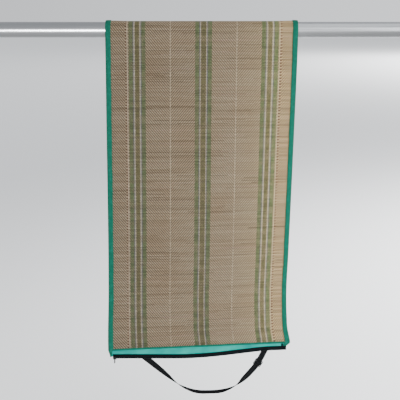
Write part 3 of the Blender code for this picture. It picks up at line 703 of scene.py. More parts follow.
def side_tape(name, node, from_right, flap, seed):
    """The binding of one long edge, with its flap."""
    profile = fold_profile(SIDE_TAPE_WIDTH)
    lengths = around(profile)
    body = np.linspace(BACK_END, FRONT_END, round(MAT_LENGTH / ROW) + 1)
    table = np.array(flap) * np.array([MM, MM, MM, 1.0])
    hanging = np.arange(table[0, 0], table[-1, 0] + FLAP_STEP / 2, FLAP_STEP)
    rows, places = [], []
    edge_share = np.clip(1.0 - profile[:, 0] / SIDE_TAPE_WIDTH, 0.0, 1.0)
    for value in body:
        inset = profile[:, 0] + (1.0 - edge_share) * TAPE_UNEVEN * wander(value, seed)
        height = profile[:, 1] + np.sign(profile[:, 1]) * TAPE_PUCKER * wander(value * 3.0, seed + 5)
        if from_right:
            inset = inset - CORNER_FLARE * near_front_end(value) * edge_share
        across = MAT_WIDTH - inset if from_right else inset
        rows.append(sewn_row(across, float(value), height))
        places.append(np.column_stack([lengths, np.full(len(lengths), value)]))
    for below in hanging:
        outer, inner, lift = (float(np.interp(below, table[:, 0], table[:, k])) for k in (1, 2, 3))
        inset = inner + (outer - inner) * np.clip(lengths / lengths[FLAT_COLUMNS], 0.0, 1.0)
        across = MAT_WIDTH - inset if from_right else inset
        rows.append(curtain_row(across, below, ZIP_PROUD + (TAPE_PROUD - ZIP_PROUD) * lift))
        places.append(np.column_stack([lengths, np.full(len(lengths), FRONT_END + below)]))

    def keep(row, column):
        return row < len(body) - 1 or column < FLAT_COLUMNS

    piece = cloth_piece(name, np.array(rows), np.array(places), CLOTH_THICKNESS, teal_tape, keep=keep)
    belongs(piece, "teal_tape", node)
    return piece


side_tape("side_tape_left", "side_binding_left", False, LEFT_FLAP, 1)
side_tape("side_tape_right", "side_binding_right", True, RIGHT_FLAP, 2)


def end_tape(name, node, end, direction, seed):
    """The binding of one cut end, between the side tapes."""
    profile = fold_profile(END_TAPE_WIDTH)
    lengths = around(profile)
    inset = SIDE_TAPE_WIDTH + GAP
    across = np.linspace(inset, MAT_WIDTH - inset, round(MAT_WIDTH / ROW) + 1)
    rows, places = [], []
    for (from_end, height), length in zip(profile, lengths):
        row = []
        for value in across:
            uneven = END_TAPE_UNEVEN * wander(value, seed) if from_end > FOLD_CENTRE else 0.0
            row.append(sewn_row(value, end - direction * (from_end + uneven), height)[0])
        rows.append(row)
        places.append(np.column_stack([np.full(len(across), length), across]))
    piece = cloth_piece(name, np.array(rows), np.array(places), CLOTH_THICKNESS, teal_tape)
    belongs(piece, "teal_tape", node)
    return piece


end_tape("end_tape_front", "end_binding_front", FRONT_END, 1.0, 3)
end_tape("end_tape_back", "end_binding_back", BACK_END, -1.0, 4)

# %% [markdown]
# The tapes are sewn through with short stitches, one line along each binding. Each stitch is a small
# round grain of thread, lying along the seam on the tape's face, and all of them are one mesh. The same
# line comes out at the back, as a machine's lock stitch does.

# %% Seam stitches
STITCH_PITCH = 4.0 * MM
STITCH_HALF = (1.35 * MM, 0.32 * MM, 0.22 * MM)     # along the seam, across it and out of the tape
SEAM_FROM_TAPE_EDGE = 2.5 * MM
SIDE_SEAM_INSETS = (4.0 * MM, 3.0 * MM)             # from the back end and from the front end
END_SEAM_INSETS = (3.0 * MM, 2.0 * MM)              # from the left tape and from the right one


def add_stitch(bm, point, along, out):
    """One grain of thread at a point, pointing along the seam."""
    along = Vector(along).normalized()
    out = Vector(out).normalized()
    turn = Matrix((along, out.cross(along), out)).transposed().to_4x4()
    place = Matrix.Translation(point) @ turn @ Matrix.Diagonal((*STITCH_HALF, 1.0))
    bmesh.ops.create_icosphere(bm, subdivisions=1, radius=1.0, matrix=place)


def sew_line(bm, before, after, outs):
    """A stitch at each place of a seam, between the points before and after it."""
    for start, stop, out in zip(before, after, outs):
        add_stitch(bm, (start + stop) / 2, stop - start, out)


def mesh_piece(name, bm, *materials):
    """A smooth object made from a finished bmesh."""
    mesh = bpy.data.meshes.new(name)
    bm.to_mesh(mesh)
    bm.free()
    mesh.shade_smooth()
    for material in materials:
        mesh.materials.append(material)
    piece = bpy.data.objects.new(name, mesh)
    bpy.context.scene.collection.objects.link(piece)
    return piece


seam_height = TAPE_PROUD + CLOTH_THICKNESS / 2 + TAPE_PUFF / 2
bm = bmesh.new()
side_seams = (SIDE_TAPE_WIDTH - SEAM_FROM_TAPE_EDGE, MAT_WIDTH - SIDE_TAPE_WIDTH + SEAM_FROM_TAPE_EDGE)
for along in np.arange(BACK_END + SIDE_SEAM_INSETS[0], FRONT_END - SIDE_SEAM_INSETS[1], STITCH_PITCH):
    for face in (1.0, -1.0):
        before = sewn_row(side_seams, float(along) - STITCH_PITCH / 4, face * seam_height)
        after = sewn_row(side_seams, float(along) + STITCH_PITCH / 4, face * seam_height)
        sew_line(bm, before, after, outward_row(np.array(side_seams), float(along)) * face)
end_seams = np.arange(SIDE_TAPE_WIDTH + END_SEAM_INSETS[0],
                      MAT_WIDTH - SIDE_TAPE_WIDTH - END_SEAM_INSETS[1], STITCH_PITCH)
for along in (FRONT_END - END_TAPE_WIDTH / 2, BACK_END + END_TAPE_WIDTH / 2):
    for face in (1.0, -1.0):
        before = sewn_row(end_seams - STITCH_PITCH / 4, along, face * seam_height)
        after = sewn_row(end_seams + STITCH_PITCH / 4, along, face * seam_height)
        sew_line(bm, before, after, outward_row(end_seams, along) * face)
seam_stitches = mesh_piece("seam_stitches", bm, teal_tape)
belongs(seam_stitches, "teal_tape")

# %% [markdown]
# Behind the end of the mat hangs a strip of thin aqua nylon, which carries the zip. It is soft, so it
# sags in the middle and puckers between its seams. The table lists the puckers one by one: where each
# one is, how far it leans, and how much it stands out.

# %% Aqua strip
STRIP_HEIGHT = 37.0 * MM
STRIP_INSET = 6.0 * MM
STRIP_UNDER_ZIP = 8.0 * MM
STRIP_THICKNESS = 0.6 * MM
STRIP_COLUMNS, STRIP_ROWS = 148, 19
RIPSTOP = 4.0 * MM
ZIP_TAPE_HEIGHT = 12.0 * MM


class Pucker(NamedTuple):
    """A soft fold of the strip between the mat's end and the zip."""
    across: float   # m
    lean: float     # how far its foot is to the right of its head, mm
    half: float     # half its width, mm
    stand: float    # mm


PUCKERS = (
    Pucker(0.040, 4.0, 9.0, 0.5), Pucker(0.082, -6.0, 12.0, 0.9), Pucker(0.118, 3.0, 8.0, 0.5),
    Pucker(0.150, 9.0, 14.0, 1.0), Pucker(0.196, -4.0, 10.0, 0.8), Pucker(0.232, 8.0, 13.0, 1.1),
    Pucker(0.276, -9.0, 15.0, 1.2), Pucker(0.322, 10.0, 12.0, 1.1), Pucker(0.361, -5.0, 10.0, 0.8),
    Pucker(0.398, 6.0, 13.0, 0.9), Pucker(0.447, -5.0, 9.0, 0.6), Pucker(0.486, 4.0, 10.0, 0.5),
    Pucker(0.531, -3.0, 9.0, 0.4),
)
ZIP_LINE = (       # across, m, and the zip tape's upper edge below the mat's end, mm
    (0.000, 12.0), (0.120, 18.0), (0.290, 24.0), (0.340, 22.5), (0.440, 15.5), (0.510, 10.5), (0.600, 9.5),
)


def zip_top(across):
    """How far below the mat's end the zip tape starts."""
    return float(smooth_between(ZIP_LINE, across)[1]) * MM


def pucker_height(across, below, top):
    """How far the strip stands forward at a place between the mat's end and the zip tape."""
    share = below / top
    if not 0.0 < share < 1.0:
        return 0.0
    rise = 0.0
    for pucker in PUCKERS:
        crest = pucker.across + pucker.lean * MM * (share - 0.5)
        rise += pucker.stand * MM * math.exp(-((across - crest) / (pucker.half * MM)) ** 2)
    return rise * math.sin(math.pi * share)


# Thin nylon: nearly matt, a little cloudy in colour, with a faint fine grid of thicker yarns.
nylon, tree, shader = new_material("thin_nylon_aqua", Roughness=0.42, Specular_IOR_Level=0.08)
place = add_node(tree, "ShaderNodeUVMap", {"uv_map": "place"})
cloud = add_node(tree, "ShaderNodeTexNoise", None, {"Vector": place, "Scale": 14.0, "Detail": 2.0})
ramp = add_node(tree, "ShaderNodeValToRGB", None, {0: cloud})
fill_ramp(ramp, [(0.32, linear("009288")), (0.50, linear("06a496")), (0.68, linear("1ab6a8"))])
tree.links.new(ramp.outputs[0], shader.inputs["Base Color"])
ripstop = add_node(tree, "ShaderNodeTexBrick", {"offset": 0.0}, {
    "Vector": place, "Scale": 1.0, "Mortar Size": 0.25 * MM, "Brick Width": RIPSTOP, "Row Height": RIPSTOP})
bump = add_node(tree, "ShaderNodeBump", None,
                {"Strength": 0.3, "Distance": 0.1 * MM, "Height": ripstop.outputs["Fac"]})
tree.links.new(bump.outputs[0], shader.inputs["Normal"])

strip_columns = np.linspace(STRIP_INSET, MAT_WIDTH - STRIP_INSET, STRIP_COLUMNS)
rows, places = [], []
for share in np.linspace(0.0, 1.0, STRIP_ROWS):
    row = []
    for across in strip_columns:
        top = zip_top(across)
        below = top + STRIP_UNDER_ZIP - STRIP_HEIGHT * (1.0 - share)
        row.append(curtain_row(across, below, STRIP_PROUD + pucker_height(across, below, top))[0])
    rows.append(row)
    places.append(np.column_stack([strip_columns, np.full(len(strip_columns), share * STRIP_HEIGHT)]))
strip = cloth_piece("nylon_strip", np.array(rows), np.array(places), STRIP_THICKNESS, nylon)
belongs(strip, "aqua_cloth", "zip_strip")

# %% [markdown]
# The zip is taken as half of a separating one. Its black tape is woven in fine ribs, and its right end
# is turned up beside the flap. The coil is a real spiral of nylon wire, 1.6 mm from turn to turn, wound
# round a soft filler as on a real zip, and the tape's edge reaches into it, where the two are sewn
# together. The wire and the filler are curves with a round section, turned into meshes.

# %% Zip tape and coil
ZIP_START = 10.5 * MM
ZIP_END_INSET = 6.0 * MM
ZIP_TAB_RIGHT = 17.2 * MM
ZIP_TAB_WIDTH = 6.3 * MM       # drawn wider than the solid's, so that it shows
ZIP_TAB_TOP = 1.5 * MM
COIL_RADIUS = 1.3 * MM
COIL_WIRE = 0.40 * MM
FILLER_RADIUS = 0.48 * MM
COIL_PITCH = 1.6 * MM
POINTS_PER_TURN = 10
FILLER_POINTS = 120
ZIP_TAPE_THICKNESS = 0.8 * MM
ZIP_RIB = 1.2 * MM

# Woven polyester: dull, with fine slanting ribs that only show close up.
polyester, tree, shader = new_material("polyester_zip_tape", Roughness=0.85, Specular_IOR_Level=0.08)
place = add_node(tree, "ShaderNodeUVMap", {"uv_map": "place"})
ribs = add_node(tree, "ShaderNodeTexWave", {"bands_direction": "DIAGONAL"},
                {"Vector": place, "Scale": WAVE_TURN / ZIP_RIB})
tone = add_node(tree, "ShaderNodeMix", {"data_type": "RGBA"},
                {0: ribs.outputs["Fac"], 6: linear("050a0c"), 7: linear("0e171a")})
tree.links.new(tone.outputs[2], shader.inputs["Base Color"])
bump = add_node(tree, "ShaderNodeBump", None,
                {"Strength": 0.4, "Distance": 0.15 * MM, "Height": ribs.outputs["Fac"]})
tree.links.new(bump.outputs[0], shader.inputs["Normal"])

tab_right = MAT_WIDTH - ZIP_TAB_RIGHT
tab_left = tab_right - ZIP_TAB_WIDTH
zip_end = MAT_WIDTH - ZIP_END_INSET
zip_columns = np.concatenate([np.linspace(ZIP_START, tab_left, 140), np.linspace(tab_left, tab_right, 4)[1:],
                              np.linspace(tab_right, zip_end, 5)[1:]])
TAPE_ROWS, TAB_ROWS = 5, 4
tape_reach = ZIP_TAPE_HEIGHT + GAP + COIL_RADIUS - FILLER_RADIUS
rows, places = [], []
for step in range(TAPE_ROWS + TAB_ROWS + 1):
    row = []
    for across in zip_columns:
        top = zip_top(across)
        if step <= TAPE_ROWS:
            below = top + tape_reach * (1.0 - step / TAPE_ROWS)
        else:
            below = top + (ZIP_TAB_TOP - top) * (step - TAPE_ROWS) / TAB_ROWS
        row.append(curtain_row(across, below, ZIP_PROUD)[0])
    rows.append(row)
    height = step * tape_reach / TAPE_ROWS
    places.append(np.column_stack([zip_columns, np.full(len(zip_columns), height)]))


def keep_tab(row, column):
    """The whole tape, and above it only the turned up end."""
    return row < TAPE_ROWS or tab_left - 0.1 * MM < zip_columns[column] < tab_right - 0.1 * MM


zip_webbing = cloth_piece("zip_webbing", np.array(rows), np.array(places), ZIP_TAPE_THICKNESS,
                          polyester, keep=keep_tab)
belongs(zip_webbing, "zip_tape", "zip_tape")


def coil_point(across):
    """A point on the coil's axis."""
    below = zip_top(across) + ZIP_TAPE_HEIGHT + GAP + COIL_RADIUS
    return Vector(curtain_row(across, below, ZIP_PROUD)[0])


def bar_curve(name, points, radius, resolution, material):
    """A round bar through the points, as a mesh."""
    curve = bpy.data.curves.new(name, "CURVE")
    curve.dimensions = "3D"
    curve.bevel_depth = radius
    curve.bevel_resolution = resolution
    curve.use_fill_caps = True
    spline = curve.splines.new("POLY")
    spline.points.add(len(points) - 1)
    for point, co in zip(spline.points, points):
        point.co = (*co, 1.0)
    return curve_mesh(name, curve, material)


def curve_mesh(name, curve, material, place=None):
    """The mesh of a curve with its seams joined, moved to its place, as a linked object."""
    shape = bpy.data.objects.new(name, curve)
    bpy.context.scene.collection.objects.link(shape)
    bpy.context.view_layer.update()
    mesh = bpy.data.meshes.new_from_object(shape.evaluated_get(bpy.context.evaluated_depsgraph_get()))
    bpy.data.objects.remove(shape)
    bm = bmesh.new()
    bm.from_mesh(mesh)
    bmesh.ops.remove_doubles(bm, verts=bm.verts, dist=0.001 * MM)
    if place is not None:
        bmesh.ops.transform(bm, matrix=place, verts=bm.verts)
    piece = mesh_piece(name, bm, material)
    piece.data.set_sharp_from_angle(angle=math.radians(50.0))
    return piece


# Black nylon wire, with a small glint on each turn.
nylon_wire = new_material("moulded_nylon_coil", Base_Color=linear("0a1012"), Roughness=0.38,
                          Specular_IOR_Level=0.25)[0]
# The filler is matt black yarn, and only shows between the turns.
filler_yarn = new_material("polyester_filler", Base_Color=linear("0b0c0d"), Roughness=0.9,
                              Specular_IOR_Level=0.0)[0]
turns = round((zip_end - ZIP_START) / COIL_PITCH)
spiral = []
for step in range(turns * POINTS_PER_TURN + 1):
    across = ZIP_START + (zip_end - ZIP_START) * step / (turns * POINTS_PER_TURN)
    angle = 2.0 * math.pi * step / POINTS_PER_TURN
    reach = COIL_RADIUS - COIL_WIRE
    spiral.append(coil_point(across) + Vector((0.0, math.cos(angle) * reach, math.sin(angle) * reach)))
coil = bar_curve("coil_spiral", spiral, COIL_WIRE, 0, nylon_wire)
belongs(coil, "zip_coil", "zip_coil")
filler_line = [coil_point(across) for across in np.linspace(ZIP_START, zip_end, FILLER_POINTS)]
filler = bar_curve("coil_filler", filler_line, FILLER_RADIUS, 2, filler_yarn)
belongs(filler, "zip_coil")
print("turns of the coil:", turns)

# %% [markdown]
# The slider is a little cast clip round the coil with a wire bail on its front, and its pull is a flat
# tab that hangs from the bail. Both come from flat outlines: a curve filled between its outlines,
# given depth and a rounded edge, then made a mesh. They are cast zinc under worn black paint.

# %% Slider and pull
SLIDER_ACROSS = 16.5 * MM
SLIDER_LENGTH = 11.0 * MM
SLIDER_HALF_DEPTH = 3.0 * MM
SLIDER_WALL = 1.2 * MM
SLIDER_TOP = 5.0 * MM
SLIDER_BOTTOM = 3.2 * MM
BAIL_RADIUS = 0.5 * MM
BAIL_FOOT_HEIGHTS = (3.4 * MM, -1.4 * MM)
BAIL_REACH = 5.9 * MM
BAIL_TURN = 1.2 * MM
PULL_OUT = 4.3 * MM
PULL_WIDTH, PULL_LENGTH, PULL_THICKNESS = 4.0 * MM, 16.0 * MM, 1.0 * MM
PULL_CORNER = 1.8 * MM
PULL_HOLE_RADIUS = 1.2 * MM
PULL_EYE_WALL = 0.9 * MM
SLIDER_EDGE, PULL_EDGE = 0.3 * MM, 0.2 * MM            # how far the edges are rounded
SLIDER_AIM = 5.0 * MM                                 # to each side, for the coil's direction


def rounded_rectangle(width, height, radius, steps=6):
    """The outline of a rectangle with round corners, about its middle."""
    points = []
    for corner, (sx, sy) in enumerate(((1, 1), (-1, 1), (-1, -1), (1, -1))):
        cx, cy = sx * (width / 2 - radius), sy * (height / 2 - radius)
        for step in range(steps + 1):
            angle = math.radians(90.0 * corner + 90.0 * step / steps)
            points.append((cx + radius * math.cos(angle), cy + radius * math.sin(angle)))
    return points


def plate(name, outlines, half_depth, edge, place, material):
    """A flat shape between closed outlines, with rounded edges, moved to its place."""
    curve = bpy.data.curves.new(name, "CURVE")
    curve.dimensions = "2D"
    curve.fill_mode = "BOTH"
    curve.extrude = half_depth - edge
    curve.bevel_depth = edge
    curve.bevel_resolution = 2
    curve.offset = -edge
    for outline in outlines:
        spline = curve.splines.new("POLY")
        spline.points.add(len(outline) - 1)
        for point, (x, y) in zip(spline.points, outline):
            point.co = (x, y, 0.0, 1.0)
        spline.use_cyclic_u = True
    return curve_mesh(name, curve, material, place)


def slider_frame():
    """The slider's own axes: X out of the mat's face, Y up and Z along the coil."""
    along = (coil_point(SLIDER_ACROSS + SLIDER_AIM) - coil_point(SLIDER_ACROSS - SLIDER_AIM)).normalized()
    out = Vector((along.y, -along.x, 0.0)).normalized()
    up = along.cross(out)
    if up.z < 0:
        up = -up
    frame = Matrix((out, up, out.cross(up))).transposed().to_4x4()
    frame.translation = coil_point(SLIDER_ACROSS)
    return frame


# Cast zinc under black paint: near black, and worn to grey metal in spots.
zinc, tree, shader = new_material("painted_zinc", Metallic=0.6, Roughness=0.42)
place = add_node(tree, "ShaderNodeTexCoord").outputs["Object"]
wear = add_node(tree, "ShaderNodeTexNoise", None, {"Vector": place, "Scale": 420.0, "Detail": 5.0})
ramp = add_node(tree, "ShaderNodeValToRGB", None, {0: wear})
fill_ramp(ramp, [(0.45, linear("17181a")), (0.60, linear("232425")), (0.74, linear("7a7977"))])
tree.links.new(ramp.outputs[0], shader.inputs["Base Color"])

half, inner = SLIDER_HALF_DEPTH, SLIDER_HALF_DEPTH - SLIDER_WALL
clip_floor = -SLIDER_BOTTOM + SLIDER_WALL
clip_outline = [(-half, -SLIDER_BOTTOM), (half, -SLIDER_BOTTOM), (half, SLIDER_TOP), (inner, SLIDER_TOP),
                (inner, clip_floor), (-inner, clip_floor), (-inner, SLIDER_TOP), (-half, SLIDER_TOP)]
slider = plate("slider", [clip_outline], SLIDER_LENGTH / 2, SLIDER_EDGE, slider_frame(), zinc)
belongs(slider, "slider_metal", "zip_slider")

high, low = BAIL_FOOT_HEIGHTS
bail_line = [(half - SLIDER_WALL / 2, high), (BAIL_REACH - BAIL_TURN, high), (BAIL_REACH, high - BAIL_TURN),
             (BAIL_REACH, low + BAIL_TURN), (BAIL_REACH - BAIL_TURN, low), (half - SLIDER_WALL / 2, low)]
bail = bar_curve("slider_bail", [slider_frame() @ Vector((x, y, 0.0)) for x, y in bail_line],
                 BAIL_RADIUS, 3, zinc)
belongs(bail, "slider_metal")

hole_centre = low - (PULL_HOLE_RADIUS - BAIL_RADIUS - GAP)
pull_middle = hole_centre + PULL_HOLE_RADIUS + PULL_EYE_WALL - PULL_LENGTH / 2
tab = [(x, y + pull_middle) for x, y in rounded_rectangle(PULL_WIDTH, PULL_LENGTH, PULL_CORNER)]
hole = [(x, y + hole_centre) for x, y in rounded_rectangle(2 * PULL_HOLE_RADIUS, 2 * PULL_HOLE_RADIUS,
                                                           PULL_HOLE_RADIUS)]
facing = Matrix(((0, 0, 1, PULL_OUT), (0, 1, 0, 0), (-1, 0, 0, 0), (0, 0, 0, 1)))
pull = plate("pull", [tab, hole], PULL_THICKNESS / 2, PULL_EDGE, slider_frame() @ facing, zinc)
belongs(pull, "slider_metal", "zip_puller")

# %% [markdown]
# The carrying strap is black webbing, sewn behind the strip at both ends. It faces forwards at both of
# them and twists to lie flat along the bottom. The table gives its middle line and its turn. At the
# slide it dips behind the outer bars and passes in front of the middle one.

# %% Strap
STRAP_WIDTH = 20.0 * MM
STRAP_THICKNESS = 1.4 * MM
BUCKLE_STATION = 0.488
BUCKLE_THICKNESS = 2.6 * MM
STRAP_PROUD = STRIP_PROUD - TAPE / 2 - GAP - STRAP_THICKNESS / 2
STRAP_LIFT = BUCKLE_THICKNESS / 2 + GAP + STRAP_THICKNESS / 2
STRAP_ROW = 2.5 * MM
STRAP_COLUMNS = 24
SOFTENING = 0.8 * MM
STRAP_SAMPLES = 481
STRAP_EDGE_SHARE = 0.55        # how thick its edges are
WEBBING_CORD, WEBBING_PICK = 2.0 * MM, 1.5 * MM


class StrapPoint(NamedTuple):
    """A point of the strap's middle line. Turned -90 it faces forwards, and at 0 it lies flat."""
    across: float   # m
    below: float    # below the mat's end, mm
    turn: float     # degrees


STRAP = (
    StrapPoint(0.098, 13.0, -90.0),
    StrapPoint(0.121, 32.0, -90.0),
    StrapPoint(0.176, 82.0, -62.0),
    StrapPoint(0.229, 130.0, -12.0),
    StrapPoint(0.281, 156.0, 12.0),
    StrapPoint(0.330, 162.0, 12.0),
    StrapPoint(0.378, 160.0, 8.0),
    StrapPoint(0.422, 144.0, -24.0),
    StrapPoint(0.452, 118.0, -72.0),
    StrapPoint(0.475, 94.0, -86.0),
    StrapPoint(0.498, 66.0, -90.0),
    StrapPoint(0.518, 28.0, -90.0),
    StrapPoint(0.526, 13.0, -90.0),
)
THREADING = (            # from the slide's middle, m, and the strap's place: behind 1, in front -1
    (0.0, -1.0), (2.9 * MM, -1.0), (7.1 * MM, 1.0), (10.5 * MM, 1.0), (17.0 * MM, 0.0),
)


def strap_line():
    """Points close together on the strap's middle line, with its turn and the length up to each."""
    table = np.array(STRAP)
    rows = np.column_stack([np.arange(len(table), dtype=float), table])
    samples = np.array([smooth_between(rows, t)[1:] for t in np.linspace(0, len(table) - 1, STRAP_SAMPLES)])
    points = np.array([curtain_row(across, below * MM, STRAP_PROUD)[0] for across, below, _ in samples])
    steps = np.linalg.norm(np.diff(points, axis=0), axis=1)
    return points, samples[:, 2], np.concatenate([[0.0], np.cumsum(steps)])


STRAP_POINTS, STRAP_TURNS, STRAP_LENGTHS = strap_line()
STRAP_LENGTH = float(STRAP_LENGTHS[-1])
BACKWARD = -Vector(outward_row(np.array([MAT_WIDTH / 2]), FRONT_END)[0])
BACKWARD.z = 0.0


def strap_frame(length):
    """A point of the strap's middle line, with its directions along, across its width and out of it."""
    def at(value):
        return Vector([float(np.interp(value, STRAP_LENGTHS, STRAP_POINTS[:, k])) for k in range(3)])

    reach = 4.0 * MM
    along = (at(min(length + reach, STRAP_LENGTH)) - at(max(length - reach, 0.0))).normalized()
    backward = (BACKWARD - along * along.dot(BACKWARD)).normalized()
    turn = math.radians(float(np.interp(length, STRAP_LENGTHS, STRAP_TURNS)))
    width = backward * math.cos(turn) + along.cross(backward) * math.sin(turn)
    return at(length), along, width, along.cross(width)


def strap_lift(length):
    """How far the strap is off its middle line, near the slide, a little softened."""
    stations, places = zip(*THREADING)
    nearby = [abs(length + shift - BUCKLE_STATION) for shift in (-SOFTENING, 0.0, SOFTENING)]
    return STRAP_LIFT * float(np.mean(np.interp(nearby, stations, places)))


# Woven polypropylene: dull black, ribbed both ways, with no shine even when seen along its face.
webbing, tree, shader = new_material("polypropylene_webbing", Roughness=0.8, Specular_IOR_Level=0.0)
place = add_node(tree, "ShaderNodeUVMap", {"uv_map": "place"})
cords = add_node(tree, "ShaderNodeTexWave", {"bands_direction": "X"},
                 {"Vector": place, "Scale": WAVE_TURN / WEBBING_CORD})
picks = add_node(tree, "ShaderNodeTexWave", {"bands_direction": "Y"},
                 {"Vector": place, "Scale": WAVE_TURN / WEBBING_PICK})
weave = add_node(tree, "ShaderNodeMath", {"operation": "MULTIPLY"},
                 {0: cords.outputs["Fac"], 1: picks.outputs["Fac"]})
tone = add_node(tree, "ShaderNodeMix", {"data_type": "RGBA"},
                {0: weave, 6: linear("101112"), 7: linear("303133")})
tree.links.new(tone.outputs[2], shader.inputs["Base Color"])
bump = add_node(tree, "ShaderNodeBump", None, {"Strength": 0.6, "Distance": 0.3 * MM, "Height": weave})
tree.links.new(bump.outputs[0], shader.inputs["Normal"])

stations = np.linspace(0.0, STRAP_LENGTH, round(STRAP_LENGTH / STRAP_ROW) + 1)
asides = np.linspace(-STRAP_WIDTH / 2, STRAP_WIDTH / 2, STRAP_COLUMNS + 1)
rows, places = [], []
for station in stations:
    point, _, width, out = strap_frame(float(station))
    lift = strap_lift(float(station))
    rows.append([point + width * aside + out * lift for aside in asides])
    places.append(np.column_stack([asides, np.full(len(asides), station)]))
weights = np.ones((len(rows), len(asides)))
weights[:, (0, -1)] = 0.0
strap = cloth_piece("webbing_strap", np.array(rows), np.array(places), STRAP_THICKNESS, webbing,
                    weights=weights, thin_share=STRAP_EDGE_SHARE)
belongs(strap, "webbing", "strap")
print("strap length in metres:", round(STRAP_LENGTH, 3))

# %% [markdown]
# How the strap is sewn on is hidden, so each root has what is usual for webbing: a box of stitches with a
# cross inside it. The box is a closed path of its corners, and the stitches are the same grains of thread
# as in the tape's seams, on the side that faces away from the mat.

# %% Stitches of the strap's roots
BOX_FROM_END = 2.5 * MM
BOX_LENGTH, BOX_WIDTH = 11.0 * MM, 14.0 * MM
BOX_STITCH_PITCH = 3.2 * MM


def sew_box(bm, from_end, direction):
    """A box with a cross, sewn through the strap from one of its ends."""
    near, far, half = from_end, from_end + direction * BOX_LENGTH, BOX_WIDTH / 2
    path = [(near, -half), (near, half), (far, half), (far, -half), (near, -half), (far, half),
            (near, half), (far, -half)]
    for (start, start_aside), (stop, stop_aside) in zip(path, path[1:]):
        count = max(2, round(math.hypot(stop - start, stop_aside - start_aside) / BOX_STITCH_PITCH))
        for step in range(count):
            share = (step + 0.5) / count
            point, along, width, out = strap_frame(start + (stop - start) * share)
            if out.y < 0.0:
                out = -out
            aside = start_aside + (stop_aside - start_aside) * share
            seam = along * (stop - start) + width * (stop_aside - start_aside)
            add_stitch(bm, point + width * aside + out * STRAP_THICKNESS / 2, seam, out)


bm = bmesh.new()
sew_box(bm, BOX_FROM_END, 1.0)
sew_box(bm, STRAP_LENGTH - BOX_FROM_END, -1.0)
strap_stitches = mesh_piece("strap_stitches", bm, nylon_wire)
belongs(strap_stitches, "webbing")

# %% [markdown]
# The slide has three bars and two slots. The strap goes behind one outer bar, over the middle one and
# behind the other, so friction holds it where it was set. It is one flat outline with two holes, and
# the same function as for the zip's pull gives it depth and soft edges.

# %% Slide
BUCKLE_WIDTH, BUCKLE_LENGTH = 28.4 * MM, 22.4 * MM     # larger than the solid's, so that it shows
BUCKLE_BAR, BUCKLE_CENTRE_BAR = 3.6 * MM, 4.8 * MM
BUCKLE_SLOT_WIDTH = 21.6 * MM
BUCKLE_CORNER, SLOT_CORNER = 3.0 * MM, 0.5 * MM
BUCKLE_EDGE = 0.4 * MM

# Moulded acetal: satin black, with a faint grain from the mould.
acetal, tree, shader = new_material("moulded_acetal", Base_Color=linear("090a0a"), Roughness=0.42,
                                    Specular_IOR_Level=0.10)
place = add_node(tree, "ShaderNodeTexCoord").outputs["Object"]
grain = add_node(tree, "ShaderNodeTexNoise", None, {"Vector": place, "Scale": 2500.0, "Detail": 2.0})
bump = add_node(tree, "ShaderNodeBump", None, {"Strength": 0.2, "Distance": 0.05 * MM, "Height": grain})
tree.links.new(bump.outputs[0], shader.inputs["Normal"])

slot_height = (BUCKLE_LENGTH - 2 * BUCKLE_BAR - BUCKLE_CENTRE_BAR) / 2
slot_centre = BUCKLE_CENTRE_BAR / 2 + slot_height / 2
slot_outline = rounded_rectangle(BUCKLE_SLOT_WIDTH, slot_height, SLOT_CORNER, steps=2)
outlines = [rounded_rectangle(BUCKLE_WIDTH, BUCKLE_LENGTH, BUCKLE_CORNER)]
for side in (-1, 1):
    outlines.append([(x, y + side * slot_centre) for x, y in slot_outline])
point, along, width, out = strap_frame(BUCKLE_STATION)
place = Matrix((along.cross(out), along, out)).transposed().to_4x4()
place.translation = point
slide = plate("slide", outlines, BUCKLE_THICKNESS / 2, BUCKLE_EDGE, place, acetal)
belongs(slide, "slide_plastic", "buckle")

# %% [markdown]
# The rail is one cylinder with rounded ends. Satin aluminium is metal all over; long fine streaks along
# it, where it was drawn and rubbed, blur its reflections, and that is what makes it look satin.

# %% Rail
RAIL_SEGMENTS = 128
RAIL_ROUNDING = 1.0 * MM

rail_metal, tree, shader = new_material("satin_aluminium", Metallic=1.0)
shader.inputs["Anisotropic"].default_value = 0.4
place = add_node(tree, "ShaderNodeTexCoord").outputs["Object"]
drawn = add_node(tree, "ShaderNodeMapping", None, {"Vector": place, "Scale": (4.0, 900.0, 900.0)})
streaks = add_node(tree, "ShaderNodeTexNoise", None, {"Vector": drawn, "Scale": 1.0, "Detail": 3.0})
tone = add_node(tree, "ShaderNodeMix", {"data_type": "RGBA"},
                {0: streaks, 6: linear("8f9194"), 7: linear("a4a6a8")})
tree.links.new(tone.outputs[2], shader.inputs["Base Color"])
dull = add_node(tree, "ShaderNodeMapRange", None, {0: streaks, 1: 0.3, 2: 0.7, 3: 0.28, 4: 0.36})
tree.links.new(dull.outputs[0], shader.inputs["Roughness"])

bm = bmesh.new()
place = Matrix.Translation((RAIL_LENGTH / 2, 0.0, 0.0)) @ Matrix.Rotation(math.pi / 2, 4, "Y")
bmesh.ops.create_cone(bm, cap_ends=True, segments=RAIL_SEGMENTS, radius1=RAIL_RADIUS, radius2=RAIL_RADIUS,
                      depth=RAIL_LENGTH, matrix=place)
rims = [edge for edge in bm.edges if len({face.normal.x > 0.5 or face.normal.x < -0.5
                                          for face in edge.link_faces}) == 2]
bmesh.ops.bevel(bm, geom=rims, offset=RAIL_ROUNDING, offset_type="OFFSET", segments=3, profile=0.5,
                affect="EDGES", material=-1)
rail = mesh_piece("aluminium_rail", bm, rail_metal)
rail.data.set_sharp_from_angle(angle=math.radians(40.0))
belongs(rail, "rail_metal", "rail")

